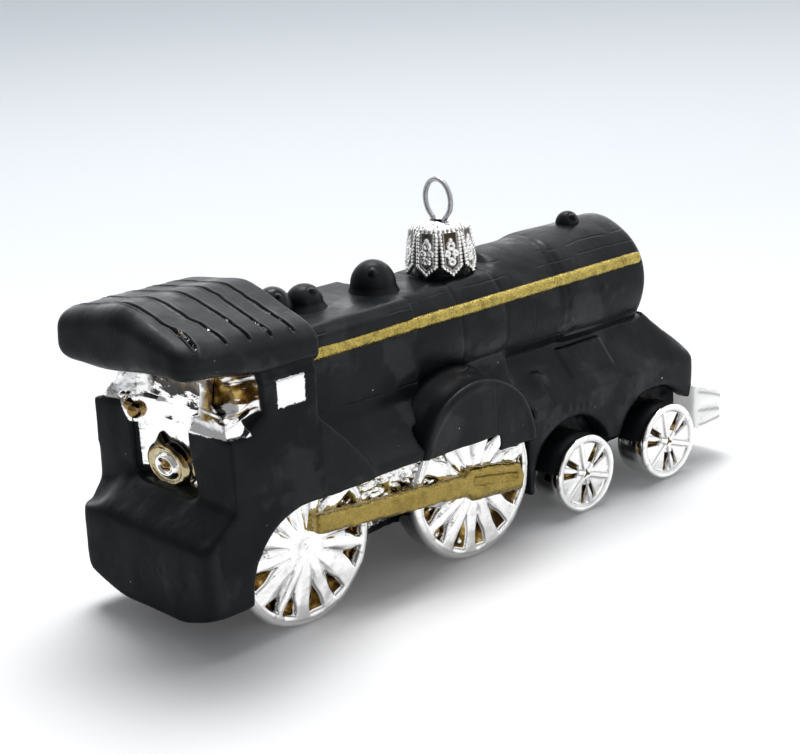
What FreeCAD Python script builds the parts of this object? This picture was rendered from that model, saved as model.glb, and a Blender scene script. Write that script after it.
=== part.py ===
import FreeCAD, Part
import os
import re
import Sketcher
from FreeCAD import Placement, Rotation, Vector

# Christmas tree ornament of blown glass in the form of a steam locomotive.
# It stands on its moulded wheels and hangs from a wire ring in a stamped metal cap.
# +X is the locomotive's front, +Z is up, and -Y is its right side. Sizes are in millimetres.

doc = FreeCAD.newDocument("glass_locomotive")

# Driving dimensions
sheet = doc.addObject("Spreadsheet::Sheet", "sizes")
SIZES = [
    ("tail", 74.0, "from the origin back to the rear edge of the roof"),
    ("roof_overhang", 9.3, "roof behind the rear posts"),
    ("apron_overhang", 2.0, "roof behind the rear apron"),
    ("cab_length", 20.7, "rear posts to the front of the cab"),
    ("cab_half_width", 21.5, "middle to the outside of the cab"),
    ("panel_thickness", 2.0, "painted cab side over the silvered core"),
    ("sill_rear", 40.5, "height of the cab side at the rear post"),
    ("sill_front", 44.2, "height of the cab side at the pillar"),
    ("opening_length", 7.9, "rear side opening, post to pillar"),
    ("pillar_width", 3.0, "pillar between opening and window"),
    ("window_length", 6.4, "side window along the cab"),
    ("window_bottom", 44.0, "height of the window sill"),
    ("window_top", 50.5, "height of the window head"),
    ("post_thickness", 3.2, "black face of a rear post"),
    ("post_width", 12.0, "rear post across the cab"),
    ("crown_step", 0.4, "silver over a post, set back from its face"),
    ("crown_lean", 2.4, "lean of the silver over a post"),
    ("apron_top", 27.0, "height of the apron's ledge at the posts"),
    ("apron_crease", 20.8, "height of the ledge's rear edge"),
    ("apron_corner", 8.0, "lower ends of the apron's sides"),
    ("apron_flat", 8.0, "middle to the end of the apron's lowest edge"),
    ("eaves_bottom", 52.5, "underside of the roof"),
    ("eaves_rear", 59.2, "upper edge of the roof's side at the rear"),
    ("eaves_front", 57.0, "upper edge of the roof's side at the front"),
    ("ridge_rear", 64.2, "ridge height at the rear"),
    ("ridge_front", 62.9, "ridge height at the front"),
    ("roof_front_gap", 1.0, "roof in front of the cab"),
    ("roof_rounding", 2.0, "rounded ends of the roof"),
    ("roof_edge", 1.3, "rounded sides of the roof"),
    ("apron_bottom", 3.4, "height of the apron's lower edge"),
    ("apron_rounding", 3.4, "rounded edges of the apron"),
    ("firebox_length", 32.0, "cab to the front of the firebox casing"),
    ("firebox_half_width", 12.7, "middle to the side of the casing"),
    ("firebox_top", 54.0, "height of the casing's flat top"),
    ("firebox_shoulder", 2.0, "rounded shoulder of the casing"),
    ("firebox_foot", 16.0, "middle to the foot of the casing"),
    ("barrel_length", 42.5, "firebox to the smokebox joint"),
    ("barrel_radius", 12.9, "outside of the barrel"),
    ("boiler_axis", 43.3, "height of the boiler's axis"),
    ("smokebox_length", 24.1, "joint ring to the front"),
    ("smokebox_radius", 13.4, "outside of the smokebox"),
    ("smokebox_rounding", 1.8, "rounded front edge"),
    ("door_radius", 9.5, "smokebox door"),
    ("door_thickness", 1.6, "how far the door stands out"),
    ("lamp_radius", 3.2, "headlamp boss on the door"),
    ("lamp_length", 2.6, "how far the headlamp boss stands out"),
    ("landing_height", 53.5, "flattened top of the barrel round the neck"),
    ("rail_rise", 3.7, "lower edge of the gold handrail above the boiler's axis"),
    ("rail_width", 2.2, "height of the gold handrail's face"),
    ("rail_proud", 0.8, "handrail outside of the casing"),
    ("steam_dome_radius", 5.5, "large dome"),
    ("steam_dome_top", 59.8, "top of the large dome"),
    ("steam_dome_set_back", 0.2, "large dome's middle in front of the firebox edge"),
    ("sand_dome_radius", 3.8, "middle dome"),
    ("sand_dome_top", 58.7, "top of the middle dome"),
    ("sand_dome_gap", 17.6, "large dome to middle dome"),
    ("valve_dome_radius", 3.5, "dome beside the cab"),
    ("valve_dome_top", 59.0, "top of the dome beside the cab"),
    ("valve_dome_gap", 7.7, "middle dome to the dome beside the cab"),
    ("bell_radius", 2.8, "small bump on the smokebox"),
    ("bell_top", 58.9, "top of the small bump"),
    ("bell_set_back", 10.8, "small bump behind the smokebox front"),
    ("frame_half_width", 12.0, "middle to the inner faces of the wheels"),
    ("frame_bottom", 9.0, "underside of the frame"),
    ("frame_top", 24.0, "top of the frame, under cab and running board"),
    ("wheel_face", 21.0, "middle to the outer faces of the driving wheels"),
    ("driver_radius", 15.9, "driving wheel"),
    ("rear_axle_inset", 5.2, "rear axle behind the front of the cab"),
    ("driver_spacing", 43.1, "between the driving axles"),
    ("leading_radius", 8.5, "leading wheel"),
    ("leading_face", 20.7, "middle to the outer faces of the leading wheels"),
    ("leading_inset", 4.0, "first leading axle behind the smokebox joint"),
    ("leading_front_inset", 2.1, "second leading axle behind the smokebox front"),
    ("rim_width", 1.7, "rim of a driving wheel"),
    ("hub_radius", 5.4, "smooth boss of a driving wheel"),
    ("spoke_recess", 1.4, "depth between the spokes"),
    ("driver_spokes", 15, "spokes of a driving wheel"),
    ("leading_spokes", 6, "spokes of a leading wheel"),
    ("leading_rim", 1.3, "rim of a leading wheel"),
    ("leading_hub", 1.9, "boss of a leading wheel"),
    ("arch_radius", 14.3, "opening in the cab side over the rear wheel"),
    ("arch_offset", 1.8, "arch centre in front of the rear axle"),
    ("arch_height", 10.0, "height of the arch centre"),
    ("board_half_width", 21.0, "middle to the edge of the running board"),
    ("board_lip", 26.5, "upper edge of the running board's side"),
    ("board_edge", 29.8, "where the board's slope meets the casing's foot"),
    ("board_crest", 34.0, "where the casing's foot meets its side"),
    ("cradle_crest", 36.0, "top of the cradle under the barrel"),
    ("cradle_crest_half", 11.4, "middle to the cradle's top edge"),
    ("splasher_radius", 15.8, "splasher over the front driving wheel"),
    ("splasher_height", 21.0, "height of the splasher's centre"),
    ("splasher_offset", 2.3, "splasher centre in front of the front axle"),
    ("web_length", 12.2, "rear splasher in front of the cab"),
    ("web_top", 39.9, "height of the rear splasher at the cab"),
    ("splasher_inner", 13.0, "middle to the inner side of the splasher"),
    ("splasher_rounding", 1.6, "rounded outer edge of the splasher"),
    ("block_rear_gap", 3.4, "front driving wheel to the cylinder block"),
    ("block_nose", 9.4, "cylinder block in front of the smokebox"),
    ("block_wall", 5.0, "cylinder block outside of the frame"),
    ("block_bottom", 6.0, "lowest edge of the cylinder block"),
    ("block_waist", 12.0, "height of the block's underside between the leading wheels"),
    ("block_nose_bottom", 14.6, "lower edge of the block's nose"),
    ("block_top", 24.9, "edge where the saddle's slope begins"),
    ("leading_arch", 11.6, "openings round the leading wheels"),
    ("saddle_top", 34.6, "where the slope meets the smokebox"),
    ("saddle_top_half", 9.0, "middle to the top edge of the slope"),
    ("saddle_front_slope", 6.8, "how far the front slope runs back"),
    ("rod_thickness", 2.4, "gold side rod"),
    ("rod_rear", 1.5, "rear end of the rod in front of the rear axle"),
    ("rod_rear_low", 18.2, "lower edge of the rod's rear end"),
    ("rod_rear_high", 21.9, "upper edge of the rod's rear end"),
    ("rod_neck_low", 14.7, "lower edge where the big end begins"),
    ("rod_neck_high", 18.7, "upper edge where the big end begins"),
    ("big_end_length", 15.0, "big end of the rod"),
    ("big_end_front", 11.6, "front of the big end in front of the front axle"),
    ("big_end_low", 11.8, "lower edge of the big end's front"),
    ("big_end_high", 17.3, "upper edge of the big end's front"),
    ("gear_face", 20.0, "middle to the outside of the crinkled gear"),
    ("gear_bottom", 15.0, "underside of the crinkled gear"),
    ("gear_rear_gap", 7.0, "rear axle to the crinkled gear"),
    ("pilot_length", 10.0, "block to the tip of the pilot"),
    ("pilot_top", 15.2, "top of the pilot at the block"),
    ("pilot_brow", 12.6, "height where the pilot's face turns down"),
    ("pilot_brow_back", 3.0, "face turns down behind the tip"),
    ("pilot_lip", 8.2, "height of the pilot's lip"),
    ("pilot_bottom", 6.4, "lowest edge of the pilot"),
    ("pilot_rake", 1.4, "lowest edge behind the lip"),
    ("pilot_half_width", 18.4, "middle to the end of the pilot"),
    ("pilot_shoulder", 4.6, "ends of the pilot behind the tip"),
    ("pilot_flat", 6.0, "middle to the end of the blunt tip"),
    ("gauge_margin", 0.1, "oval boss on the back wall to the left rear post"),
    ("gauge_half_height", 4.5, "middle to the top of the boss"),
    ("gauge_offset", 2.4, "boss to the left of the middle"),
    ("gauge_height", 30.6, "height of the boss's middle"),
    ("gauge_thickness", 2.4, "how far the boss stands out"),
    ("knob_radius", 1.7, "small knob beside the left post"),
    ("knob_height", 40.3, "height of the small knob"),
    ("neck_gap", 18.6, "firebox casing to the middle of the neck"),
    ("neck_radius", 5.5, "outside of the glass neck"),
    ("neck_wall", 1.2, "wall of the glass neck"),
    ("well_depth", 7.7, "hollow under the neck, below the boiler's top"),
    ("neck_top_gap", 0.4, "neck's rim below the cap's shoulder"),
    ("landing_margin", 1.3, "flattened top in front of the petals"),
    ("cap_clearance", 0.4, "cap outside of the neck"),
    ("cap_wall", 0.5, "sheet of the cap"),
    ("cap_shoulder", 62.6, "height of the cap's shoulder"),
    ("cap_crown_rise", 1.1, "crown above the shoulder"),
    ("crown_slope", 1.6, "sloping edge of the crown"),
    ("slit_top_gap", 0.9, "slits end below the shoulder"),
    ("cap_tip", 54.0, "height of the petals' tips"),
    ("petal_flare", 0.5, "petal tips outside of the shoulder"),
    ("petal_count", 8, "petals round the cap"),
    ("petal_gap", 0.7, "slit between two petals"),
    ("petal_point", 2.0, "height of a petal's point"),
    ("slot_length", 5.4, "slot in the crown, along the wire ring"),
    ("slot_width", 1.9, "slot in the crown, across the wire ring"),
    ("wire_radius", 0.45, "hanging wire"),
    ("ring_radius", 4.35, "middle of the wire ring"),
    ("ring_top", 73.4, "top of the wire ring"),
    ("leg_spread", 3.3, "lower ends of the wire's legs from the middle"),
    ("leg_bottom", 57.0, "lower ends of the wire's legs"),
    ("leg_waist", 1.3, "legs meet the ring this far from the middle"),
]
for row, (alias, size, meaning) in enumerate(SIZES, 1):
    sheet.set(f"A{row}", alias)
    sheet.set(f"B{row}", str(size))
    sheet.set(f"C{row}", meaning)
    sheet.setAlias(f"B{row}", alias)
doc.recompute()
ALIASES = {alias for alias, size, meaning in SIZES}
finished = []


def bound(text):
    """Turn words of the sheet into references to its cells."""
    return re.sub(r"[a-z][a-z_]*", lambda word: "sizes." + word[0] if word[0] in ALIASES else word[0], str(text))


def bind(item, **formulas):
    """Bind properties to formulas; two underscores stand for a dot."""
    for name, text in formulas.items():
        item.setExpression(name.replace("__", "."), bound(text))
    return item


def place(item, x="0", y="0", z="0", turn=None):
    if turn is not None:
        item.Placement = Placement(Vector(), turn)
    return bind(item, Placement__Base__x=x, Placement__Base__y=y, Placement__Base__z=z)


def keep(item, node):
    """Mark an object as a finished sub-part; its Label is its node name."""
    item.Label = node
    finished.append(item)
    return item


# Helper shapes
ALONG_X = Rotation(Vector(0, 1, 0), 90)
OUT_RIGHT = Rotation(Vector(1, 0, 0), 90)
OUT_LEFT = Rotation(Vector(1, 0, 0), -90)
RIGHT, LEFT = -1, 1
SIDES = ((RIGHT, "right"), (LEFT, "left"))


def box(name, x, y, z, length, width, height):
    item = doc.addObject("Part::Box", name)
    bind(item, Length=length, Width=width, Height=height)
    return place(item, x, y, z)


def drum(name, radius, height, x="0", y="0", z="0", turn=None):
    item = doc.addObject("Part::Cylinder", name)
    bind(item, Radius=radius, Height=height)
    return place(item, x, y, z, turn)


def cut(name, base, *tools):
    """Cut the tools from the base; what stays meets them face to face."""
    item = doc.addObject("Part::Cut", name)
    item.Base = base
    if len(tools) == 1:
        item.Tool = tools[0]
    else:
        group = doc.addObject("Part::MultiFuse", name + "_tools")
        group.Shapes = list(tools)
        item.Tool = group
    return item


def plane_of(body, role):
    return next(item for item in body.Origin.OriginFeatures if item.Role == role)


def outline(body, name, role, points, offset="0"):
    """Draw a closed outline whose corners are bound to formulas."""
    sketch = body.newObject("Sketcher::SketchObject", name)
    sketch.AttachmentSupport = [(plane_of(body, role), "")]
    sketch.MapMode = "FlatFace"
    bind(sketch, AttachmentOffset__Base__z=offset)
    spots = [Vector(value_of(across), value_of(up), 0) for across, up in points]
    for index, spot in enumerate(spots):
        sketch.addGeometry(Part.LineSegment(spot, spots[(index + 1) % len(spots)]), False)
    for index in range(len(spots)):
        following = (index + 1) % len(spots)
        sketch.addConstraint(Sketcher.Constraint("Coincident", index, 2, following, 1))
    for index, (across, up) in enumerate(points):
        for kind, text, number in (("DistanceX", across, spots[index].x), ("DistanceY", up, spots[index].y)):
            place_in_list = sketch.addConstraint(Sketcher.Constraint(kind, -1, 1, index, 1, number))
            sketch.setExpression(f"Constraints[{place_in_list}]", bound(text))
    return sketch


def value_of(text):
    """Work out a formula with the sheet's present values."""
    return float(FreeCAD.Units.Quantity(str(sheet.evalExpression(bound(text)))).Value)


def round_off(body, feature, radius, edges=None):
    """Round the named edges of a feature, or all of them."""
    fillet = body.newObject("PartDesign::Fillet", body.Name + "_round")
    fillet.Base = (feature, edges or ["Edge1"])
    fillet.UseAllEdges = edges is None
    bind(fillet, Radius=radius)
    body.Tip = fillet
    return fillet


def prism(name, role, points, start, length, backwards=False):
    """Pad an outline; backwards runs against the plane's normal."""
    body = doc.addObject("PartDesign::Body", name)
    sketch = outline(body, name + "_outline", role, points, start)
    pad = body.newObject("PartDesign::Pad", name + "_pad")
    pad.Profile = sketch
    pad.Reversed = backwards
    bind(pad, Length=length)
    body.Tip = pad
    return body, pad


def side_prism(name, points, inner, outer, side):
    """Pad an outline of X and Z outwards between two distances from the middle."""
    start = inner if side == RIGHT else f"-({inner})"
    return prism(name, "XZ_Plane", points, start, f"({outer}) - ({inner})", side == LEFT)


# Places along the locomotive
POST_BACK = "(roof_overhang - tail)"
CAB_FRONT = "(roof_overhang - tail + cab_length)"
FIREBOX_FRONT = f"({CAB_FRONT} + firebox_length)"
SMOKEBOX_BACK = f"({FIREBOX_FRONT} + barrel_length)"
SMOKEBOX_FRONT = f"({SMOKEBOX_BACK} + smokebox_length)"
POST_FRONT = f"({POST_BACK} + post_thickness)"
PILLAR_BACK = f"({POST_BACK} + opening_length)"
WINDOW_BACK = f"({PILLAR_BACK} + pillar_width)"
WINDOW_FRONT = f"({WINDOW_BACK} + window_length)"
REAR_AXLE = f"({CAB_FRONT} - rear_axle_inset)"
FRONT_AXLE = f"({REAR_AXLE} + driver_spacing)"
LEADING_AXLES = (f"({SMOKEBOX_BACK} - leading_inset)", f"({SMOKEBOX_FRONT} - leading_front_inset)")
BLOCK_BACK = f"({FRONT_AXLE} + driver_radius + block_rear_gap)"
BLOCK_FRONT = f"({SMOKEBOX_FRONT} + block_nose)"
BLOCK_HALF = "(frame_half_width + block_wall)"
NECK = f"({FIREBOX_FRONT} + neck_gap)"
WELL_BOTTOM = "(boiler_axis + barrel_radius - well_depth)"
CORE_HALF = "(cab_half_width - panel_thickness)"
CAP_RADIUS = "(neck_radius + cap_clearance + cap_wall)"


# Boiler
def make_boiler():
    barrel = drum("barrel_round", "barrel_radius", "barrel_length", FIREBOX_FRONT, "0", "boiler_axis", ALONG_X)
    landing_length = f"{NECK} + {CAP_RADIUS} + petal_flare + landing_margin - {FIREBOX_FRONT}"
    landing = box("landing", FIREBOX_FRONT, "-barrel_radius", "landing_height",
                  landing_length, "2 * barrel_radius", "barrel_radius")
    well = drum("well", "neck_radius", "well_depth", NECK, "0", WELL_BOTTOM)
    seated = keep(cut("boiler_barrel", barrel, landing, well), "boiler_barrel")

    body = doc.addObject("PartDesign::Body", "smokebox")
    rim = round_profile(body, "smokebox_section", "YZ_Plane", "smokebox_radius", SMOKEBOX_BACK, "0", "boiler_axis")
    pad = body.newObject("PartDesign::Pad", "smokebox_pad")
    pad.Profile = rim
    bind(pad, Length="smokebox_length")
    doc.recompute()
    front = edges_where(pad, lambda edge: edge.BoundBox.XMin > value_of(SMOKEBOX_FRONT) - 0.01)
    round_off(body, pad, "smokebox_rounding", front)
    keep(body, "smokebox")

    door = drum("smokebox_door", "door_radius", "door_thickness", SMOKEBOX_FRONT, "0", "boiler_axis", ALONG_X)
    keep(door, "smokebox_door")
    keep(drum("headlamp", "lamp_radius", "lamp_length", f"{SMOKEBOX_FRONT} + door_thickness", "0",
              "boiler_axis", ALONG_X), "headlamp")
    return barrel, seated, body, door


def round_profile(body, name, role, radius, offset, across, up):
    """Draw a circle whose centre and radius are bound to formulas."""
    sketch = body.newObject("Sketcher::SketchObject", name)
    sketch.AttachmentSupport = [(plane_of(body, role), "")]
    sketch.MapMode = "FlatFace"
    bind(sketch, AttachmentOffset__Base__z=offset)
    centre = Vector(value_of(across), value_of(up), 0)
    sketch.addGeometry(Part.Circle(centre, Vector(0, 0, 1), value_of(radius)), False)
    for kind, text, number in (("DistanceX", across, centre.x), ("DistanceY", up, centre.y)):
        where = sketch.addConstraint(Sketcher.Constraint(kind, -1, 1, 0, 3, number))
        sketch.setExpression(f"Constraints[{where}]", bound(text))
    where = sketch.addConstraint(Sketcher.Constraint("Radius", 0, value_of(radius)))
    sketch.setExpression(f"Constraints[{where}]", bound(radius))
    return sketch


def edges_where(feature, wanted):
    return [f"Edge{index}" for index, edge in enumerate(feature.Shape.Edges, 1) if wanted(edge)]


def make_firebox():
    half, top, foot = "firebox_half_width", "firebox_top", "firebox_foot"
    points = [(f"-{foot}", "board_edge"), (foot, "board_edge"), (half, "board_crest"),
              (half, f"{top} - firebox_shoulder"), (f"{half} - firebox_shoulder", top),
              (f"firebox_shoulder - {half}", top), (f"-{half}", f"{top} - firebox_shoulder"),
              (f"-{half}", "board_crest")]
    body, pad = prism("firebox_casing", "YZ_Plane", points, CAB_FRONT, "firebox_length")
    return keep(body, "firebox_casing")


def make_dome(node, radius, top, x, *carriers):
    """A dome: an upright drum with a rounded crown, seated on what carries it."""
    body = doc.addObject("PartDesign::Body", node + "_round")
    profile = round_profile(body, node + "_section", "XY_Plane", radius, "boiler_axis", x, "0")
    pad = body.newObject("PartDesign::Pad", node + "_pad")
    pad.Profile = profile
    bind(pad, Length=f"{top} - boiler_axis")
    doc.recompute()
    crown = edges_where(pad, lambda edge: edge.BoundBox.ZMin > value_of(top) - 0.01)
    round_off(body, pad, f"0.8 * {radius}", crown)
    return keep(cut(node, body, *carriers), node)


def make_handrails(barrel, smokebox, casing):
    outside = "(firebox_half_width + rail_proud)"
    for side, word in SIDES:
        low = f"-{outside}" if side == RIGHT else f"{outside} - firebox_half_width / 2"
        bar = box("rail_bar_" + word, CAB_FRONT, low, "boiler_axis + rail_rise",
                  f"{SMOKEBOX_FRONT} - smokebox_rounding - {CAB_FRONT}", "firebox_half_width / 2", "rail_width")
        keep(cut("handrail_" + word, bar, barrel, smokebox, casing), "handrail_" + word)


# Cab
def make_cab():
    core = box("core_block", POST_FRONT, f"-{CORE_HALF}", "frame_top", "cab_length - post_thickness",
               f"2 * {CORE_HALF}", "eaves_bottom - frame_top")
    crowns = []
    for side, word in SIDES:
        points = [(f"{POST_BACK} + crown_step", "sill_rear"), (POST_FRONT, "sill_rear"),
                  (POST_FRONT, "eaves_bottom"), (f"{POST_BACK} + crown_step + crown_lean", "eaves_bottom")]
        crown, pad = side_prism("post_crown_" + word, points, "cab_half_width - post_width", CORE_HALF, side)
        crowns.append(crown)
    silver = doc.addObject("Part::MultiFuse", "cab_core")
    silver.Shapes = [core] + crowns
    keep(silver, "cab_core")
    panels, posts = {}, {}
    for side, word in SIDES:
        points = [(POST_FRONT, "sill_rear"), (PILLAR_BACK, "sill_front"),
                  (PILLAR_BACK, "eaves_bottom"), (CAB_FRONT, "eaves_bottom"), (CAB_FRONT, "arch_height"),
                  (POST_FRONT, "arch_height")]
        panel, pad = side_prism("panel_" + word, points, CORE_HALF, "cab_half_width", side)
        start = CORE_HALF if side == RIGHT else "-cab_half_width"
        arch = drum("arch_" + word, "arch_radius", "panel_thickness", f"{REAR_AXLE} + arch_offset",
                    f"-({start})", "arch_height", OUT_RIGHT)
        low = "-cab_half_width" if side == RIGHT else CORE_HALF
        window = box("window_hole_" + word, WINDOW_BACK, low, "window_bottom", "window_length",
                     "panel_thickness", "window_top - window_bottom")
        panels[side] = keep(cut("cab_side_" + word, panel, arch, window), "cab_side_" + word)
        pane = box("cab_window_" + word, WINDOW_BACK, low, "window_bottom", "window_length",
                   "panel_thickness", "window_top - window_bottom")
        keep(pane, "cab_window_" + word)
        post_y = "-cab_half_width" if side == RIGHT else "cab_half_width - post_width"
        post = box("rear_post_" + word, POST_BACK, post_y, "apron_top", "post_thickness", "post_width",
                   "sill_rear - apron_top")
        posts[side] = keep(post, "rear_post_" + word)
    return panels, silver, posts


def roof_section(body, name, x, eaves, ridge, inset, lift):
    """One cross-section of the roof; the inset ones round its two ends."""
    half, low, high = f"(cab_half_width - {inset})", f"(eaves_bottom + {lift})", f"({eaves} - {inset})"
    right = [(f"{half} - roof_edge", low), (half, f"{low} + roof_edge"), (half, f"{high} - roof_edge"),
             (f"{half} - roof_edge", high), (f"0.7 * {half}", f"{high} + roof_edge")]
    left = [(f"-({across})", up) for across, up in reversed(right)]
    return outline(body, name, "YZ_Plane", right + [("0", f"{ridge} - {inset}")] + left, x)


def make_roof(casing):
    body = doc.addObject("PartDesign::Body", "roof_whole")
    rear, front = "-tail", f"({CAB_FRONT} + roof_front_gap)"
    sections = [roof_section(body, "roof_tail", rear, "eaves_rear", "ridge_rear", "roof_rounding", "roof_rounding"),
                roof_section(body, "roof_rear", f"{rear} + roof_rounding", "eaves_rear", "ridge_rear", "0", "0"),
                roof_section(body, "roof_front", f"{front} - roof_rounding", "eaves_front", "ridge_front", "0", "0"),
                roof_section(body, "roof_nose", front, "eaves_front", "ridge_front", "roof_rounding", "0")]
    loft = body.newObject("PartDesign::AdditiveLoft", "roof_loft")
    loft.Profile = sections[0]
    loft.Sections = sections[1:]
    loft.Ruled = True
    body.Tip = loft
    return keep(cut("cab_roof", body, casing), "cab_roof")


def make_apron():
    """The apron's side outline and rear outline, each padded; the apron is what they share."""
    rear = "(apron_overhang - tail)"
    points = [(rear, "apron_bottom"), (POST_FRONT, "apron_bottom"), (POST_FRONT, "apron_top"),
              (POST_BACK, "apron_top"), (rear, "apron_crease")]
    along, pad = prism("apron_along", "XZ_Plane", points, "-cab_half_width", "2 * cab_half_width")
    doc.recompute()
    edges = edges_where(pad, lambda edge: edge.BoundBox.XMax < value_of(rear) + 0.01)
    round_off(along, pad, "apron_rounding", edges)
    half = [("cab_half_width", "apron_top"), ("cab_half_width", "apron_corner"), ("apron_flat", "apron_bottom")]
    points = half + [(f"-{across}", up) for across, up in reversed(half)]
    across_body, across_pad = prism("apron_across", "YZ_Plane", points, rear, f"{POST_FRONT} - {rear}")
    apron = doc.addObject("Part::MultiCommon", "rear_apron")
    apron.Shapes = [along, across_body]
    return keep(apron, "rear_apron")


def make_backhead(silver, posts, apron):
    boss = doc.addObject("Part::Ellipsoid", "boss_whole")
    bind(boss, Radius1="gauge_half_height", Radius2="gauge_thickness", Radius3="cab_half_width - post_width - gauge_offset - gauge_margin")
    place(boss, POST_FRONT, "gauge_offset", "gauge_height")
    keep(cut("backhead_gauge", boss, silver, apron), "backhead_gauge")
    knob = drum("knob_whole", "knob_radius", f"{POST_FRONT} - {POST_BACK}", POST_BACK,
                "cab_half_width - post_width - 0.1 * knob_radius", "knob_height", ALONG_X)
    keep(cut("backhead_knob", knob, silver, posts[LEFT]), "backhead_knob")


# Running gear
def make_wheel(node, radius, face, rim, hub, spokes, x, side):
    """A moulded wheel: a disc whose outer face has wedge-shaped hollows between its spokes."""
    body = doc.addObject("PartDesign::Body", node + "_whole")
    circle = round_profile(body, node + "_tread", "XY_Plane", radius, "0", "0", "0")
    disc = body.newObject("PartDesign::Pad", node + "_disc")
    disc.Profile = circle
    bind(disc, Length=f"{face} - frame_half_width")
    body.Tip = disc
    inside, outside, spread = f"({hub} + 0.6)", f"({radius} - {rim})", f"(110 / {spokes})"
    points = [(f"-{inside} * sin({spread})", f"{inside} * cos({spread})"),
              (f"{inside} * sin({spread})", f"{inside} * cos({spread})"),
              (f"{outside} * sin({spread})", f"{outside} * cos({spread})"),
              (f"-{outside} * sin({spread})", f"{outside} * cos({spread})")]
    wedge = outline(body, node + "_wedge", "XY_Plane", points, f"{face} - frame_half_width")
    hollow = body.newObject("PartDesign::Pocket", node + "_hollow")
    hollow.Profile = wedge
    bind(hollow, Length="spoke_recess")
    body.Tip = hollow
    around = body.newObject("PartDesign::PolarPattern", node + "_spokes")
    around.Originals = [hollow]
    around.Axis = (circle, ["N_Axis"])
    around.Angle = 360
    bind(around, Occurrences=spokes)
    body.Tip = around
    turn = OUT_RIGHT if side == RIGHT else OUT_LEFT
    inner = "-frame_half_width" if side == RIGHT else "frame_half_width"
    return place(body, x, inner, radius, turn)


def make_running_gear(panels, apron):
    length = f"{BLOCK_FRONT} - {POST_FRONT}"
    frame = box("underframe", POST_FRONT, "-frame_half_width", "frame_bottom", length,
                "2 * frame_half_width", "frame_top - frame_bottom")
    keep(frame, "underframe")
    above = box("above_frame", "-tail", "-tail", "frame_top", "2 * tail", "2 * tail", "driver_radius * 2")
    for side, word in SIDES:
        rear = make_wheel("rear_driver_" + word, "driver_radius", "wheel_face", "rim_width", "hub_radius",
                          "driver_spokes", REAR_AXLE, side)
        keep(cut("rear_driver_" + word, rear, above, panels[side], apron), "rear_driver_" + word)
        front = make_wheel("front_driver_" + word, "driver_radius", "wheel_face", "rim_width", "hub_radius",
                           "driver_spokes", FRONT_AXLE, side)
        keep(cut("front_driver_" + word, front, above), "front_driver_" + word)
        for number, axle in enumerate(LEADING_AXLES, 1):
            node = f"leading_wheel_{number}_{word}"
            wheel = make_wheel(node, "leading_radius", "leading_face", "leading_rim", "leading_hub",
                               "leading_spokes", axle, side)
            keep(wheel, node)
        make_rod(side, word)
        make_gear(side, word)


def make_rod(side, word):
    """The gold side rod lies on the faces of both driving wheels."""
    front = f"({FRONT_AXLE} + big_end_front)"
    neck = f"({front} - big_end_length)"
    rear = f"({REAR_AXLE} + rod_rear)"
    points = [(rear, "rod_rear_low"), (neck, "rod_neck_low"), (f"{neck} + 1.5", "rod_neck_low - 1.5"),
              (front, "big_end_low"), (front, "big_end_high"), (f"{neck} + 1.5", "rod_neck_high + 1.2"),
              (neck, "rod_neck_high"), (rear, "rod_rear_high")]
    body, pad = side_prism("side_rod_" + word, points, "wheel_face", "wheel_face + rod_thickness", side)
    keep(body, "side_rod_" + word)


def make_gear(side, word):
    """The crinkled silver mass between the driving wheels, behind the rod."""
    low = "-gear_face" if side == RIGHT else "frame_half_width"
    start = f"({REAR_AXLE} + gear_rear_gap)"
    block = box("gear_block_" + word, start, low, "gear_bottom", f"{FRONT_AXLE} - {start}",
                "gear_face - frame_half_width", "frame_top - gear_bottom")
    discs = [drum(f"gear_clear_{number}_{word}", "driver_radius", "wheel_face - frame_half_width", axle,
                  "-frame_half_width" if side == RIGHT else "wheel_face", "driver_radius", OUT_RIGHT)
             for number, axle in enumerate((REAR_AXLE, FRONT_AXLE))]
    keep(cut("valve_gear_" + word, block, *discs), "valve_gear_" + word)


# Running board, splashers and cylinder block
def make_rear_splasher(side, word, casing):
    """The cab's side runs forward and down in a curve to the running board."""
    rise = "(web_top - board_lip)"
    curve = [("1", "0"), ("0.89", "0.18"), ("0.72", "0.355"), ("0.43", "0.63"), ("0", "1")]
    points = [(CAB_FRONT, "frame_top"), (f"{CAB_FRONT} + web_length", "frame_top")]
    points += [(f"{CAB_FRONT} + {along} * web_length", f"board_lip + {up} * {rise}") for along, up in curve]
    web, pad = side_prism("web_" + word, points, "splasher_inner", "cab_half_width", side)
    return keep(cut("rear_splasher_" + word, web, casing), "rear_splasher_" + word)


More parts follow.
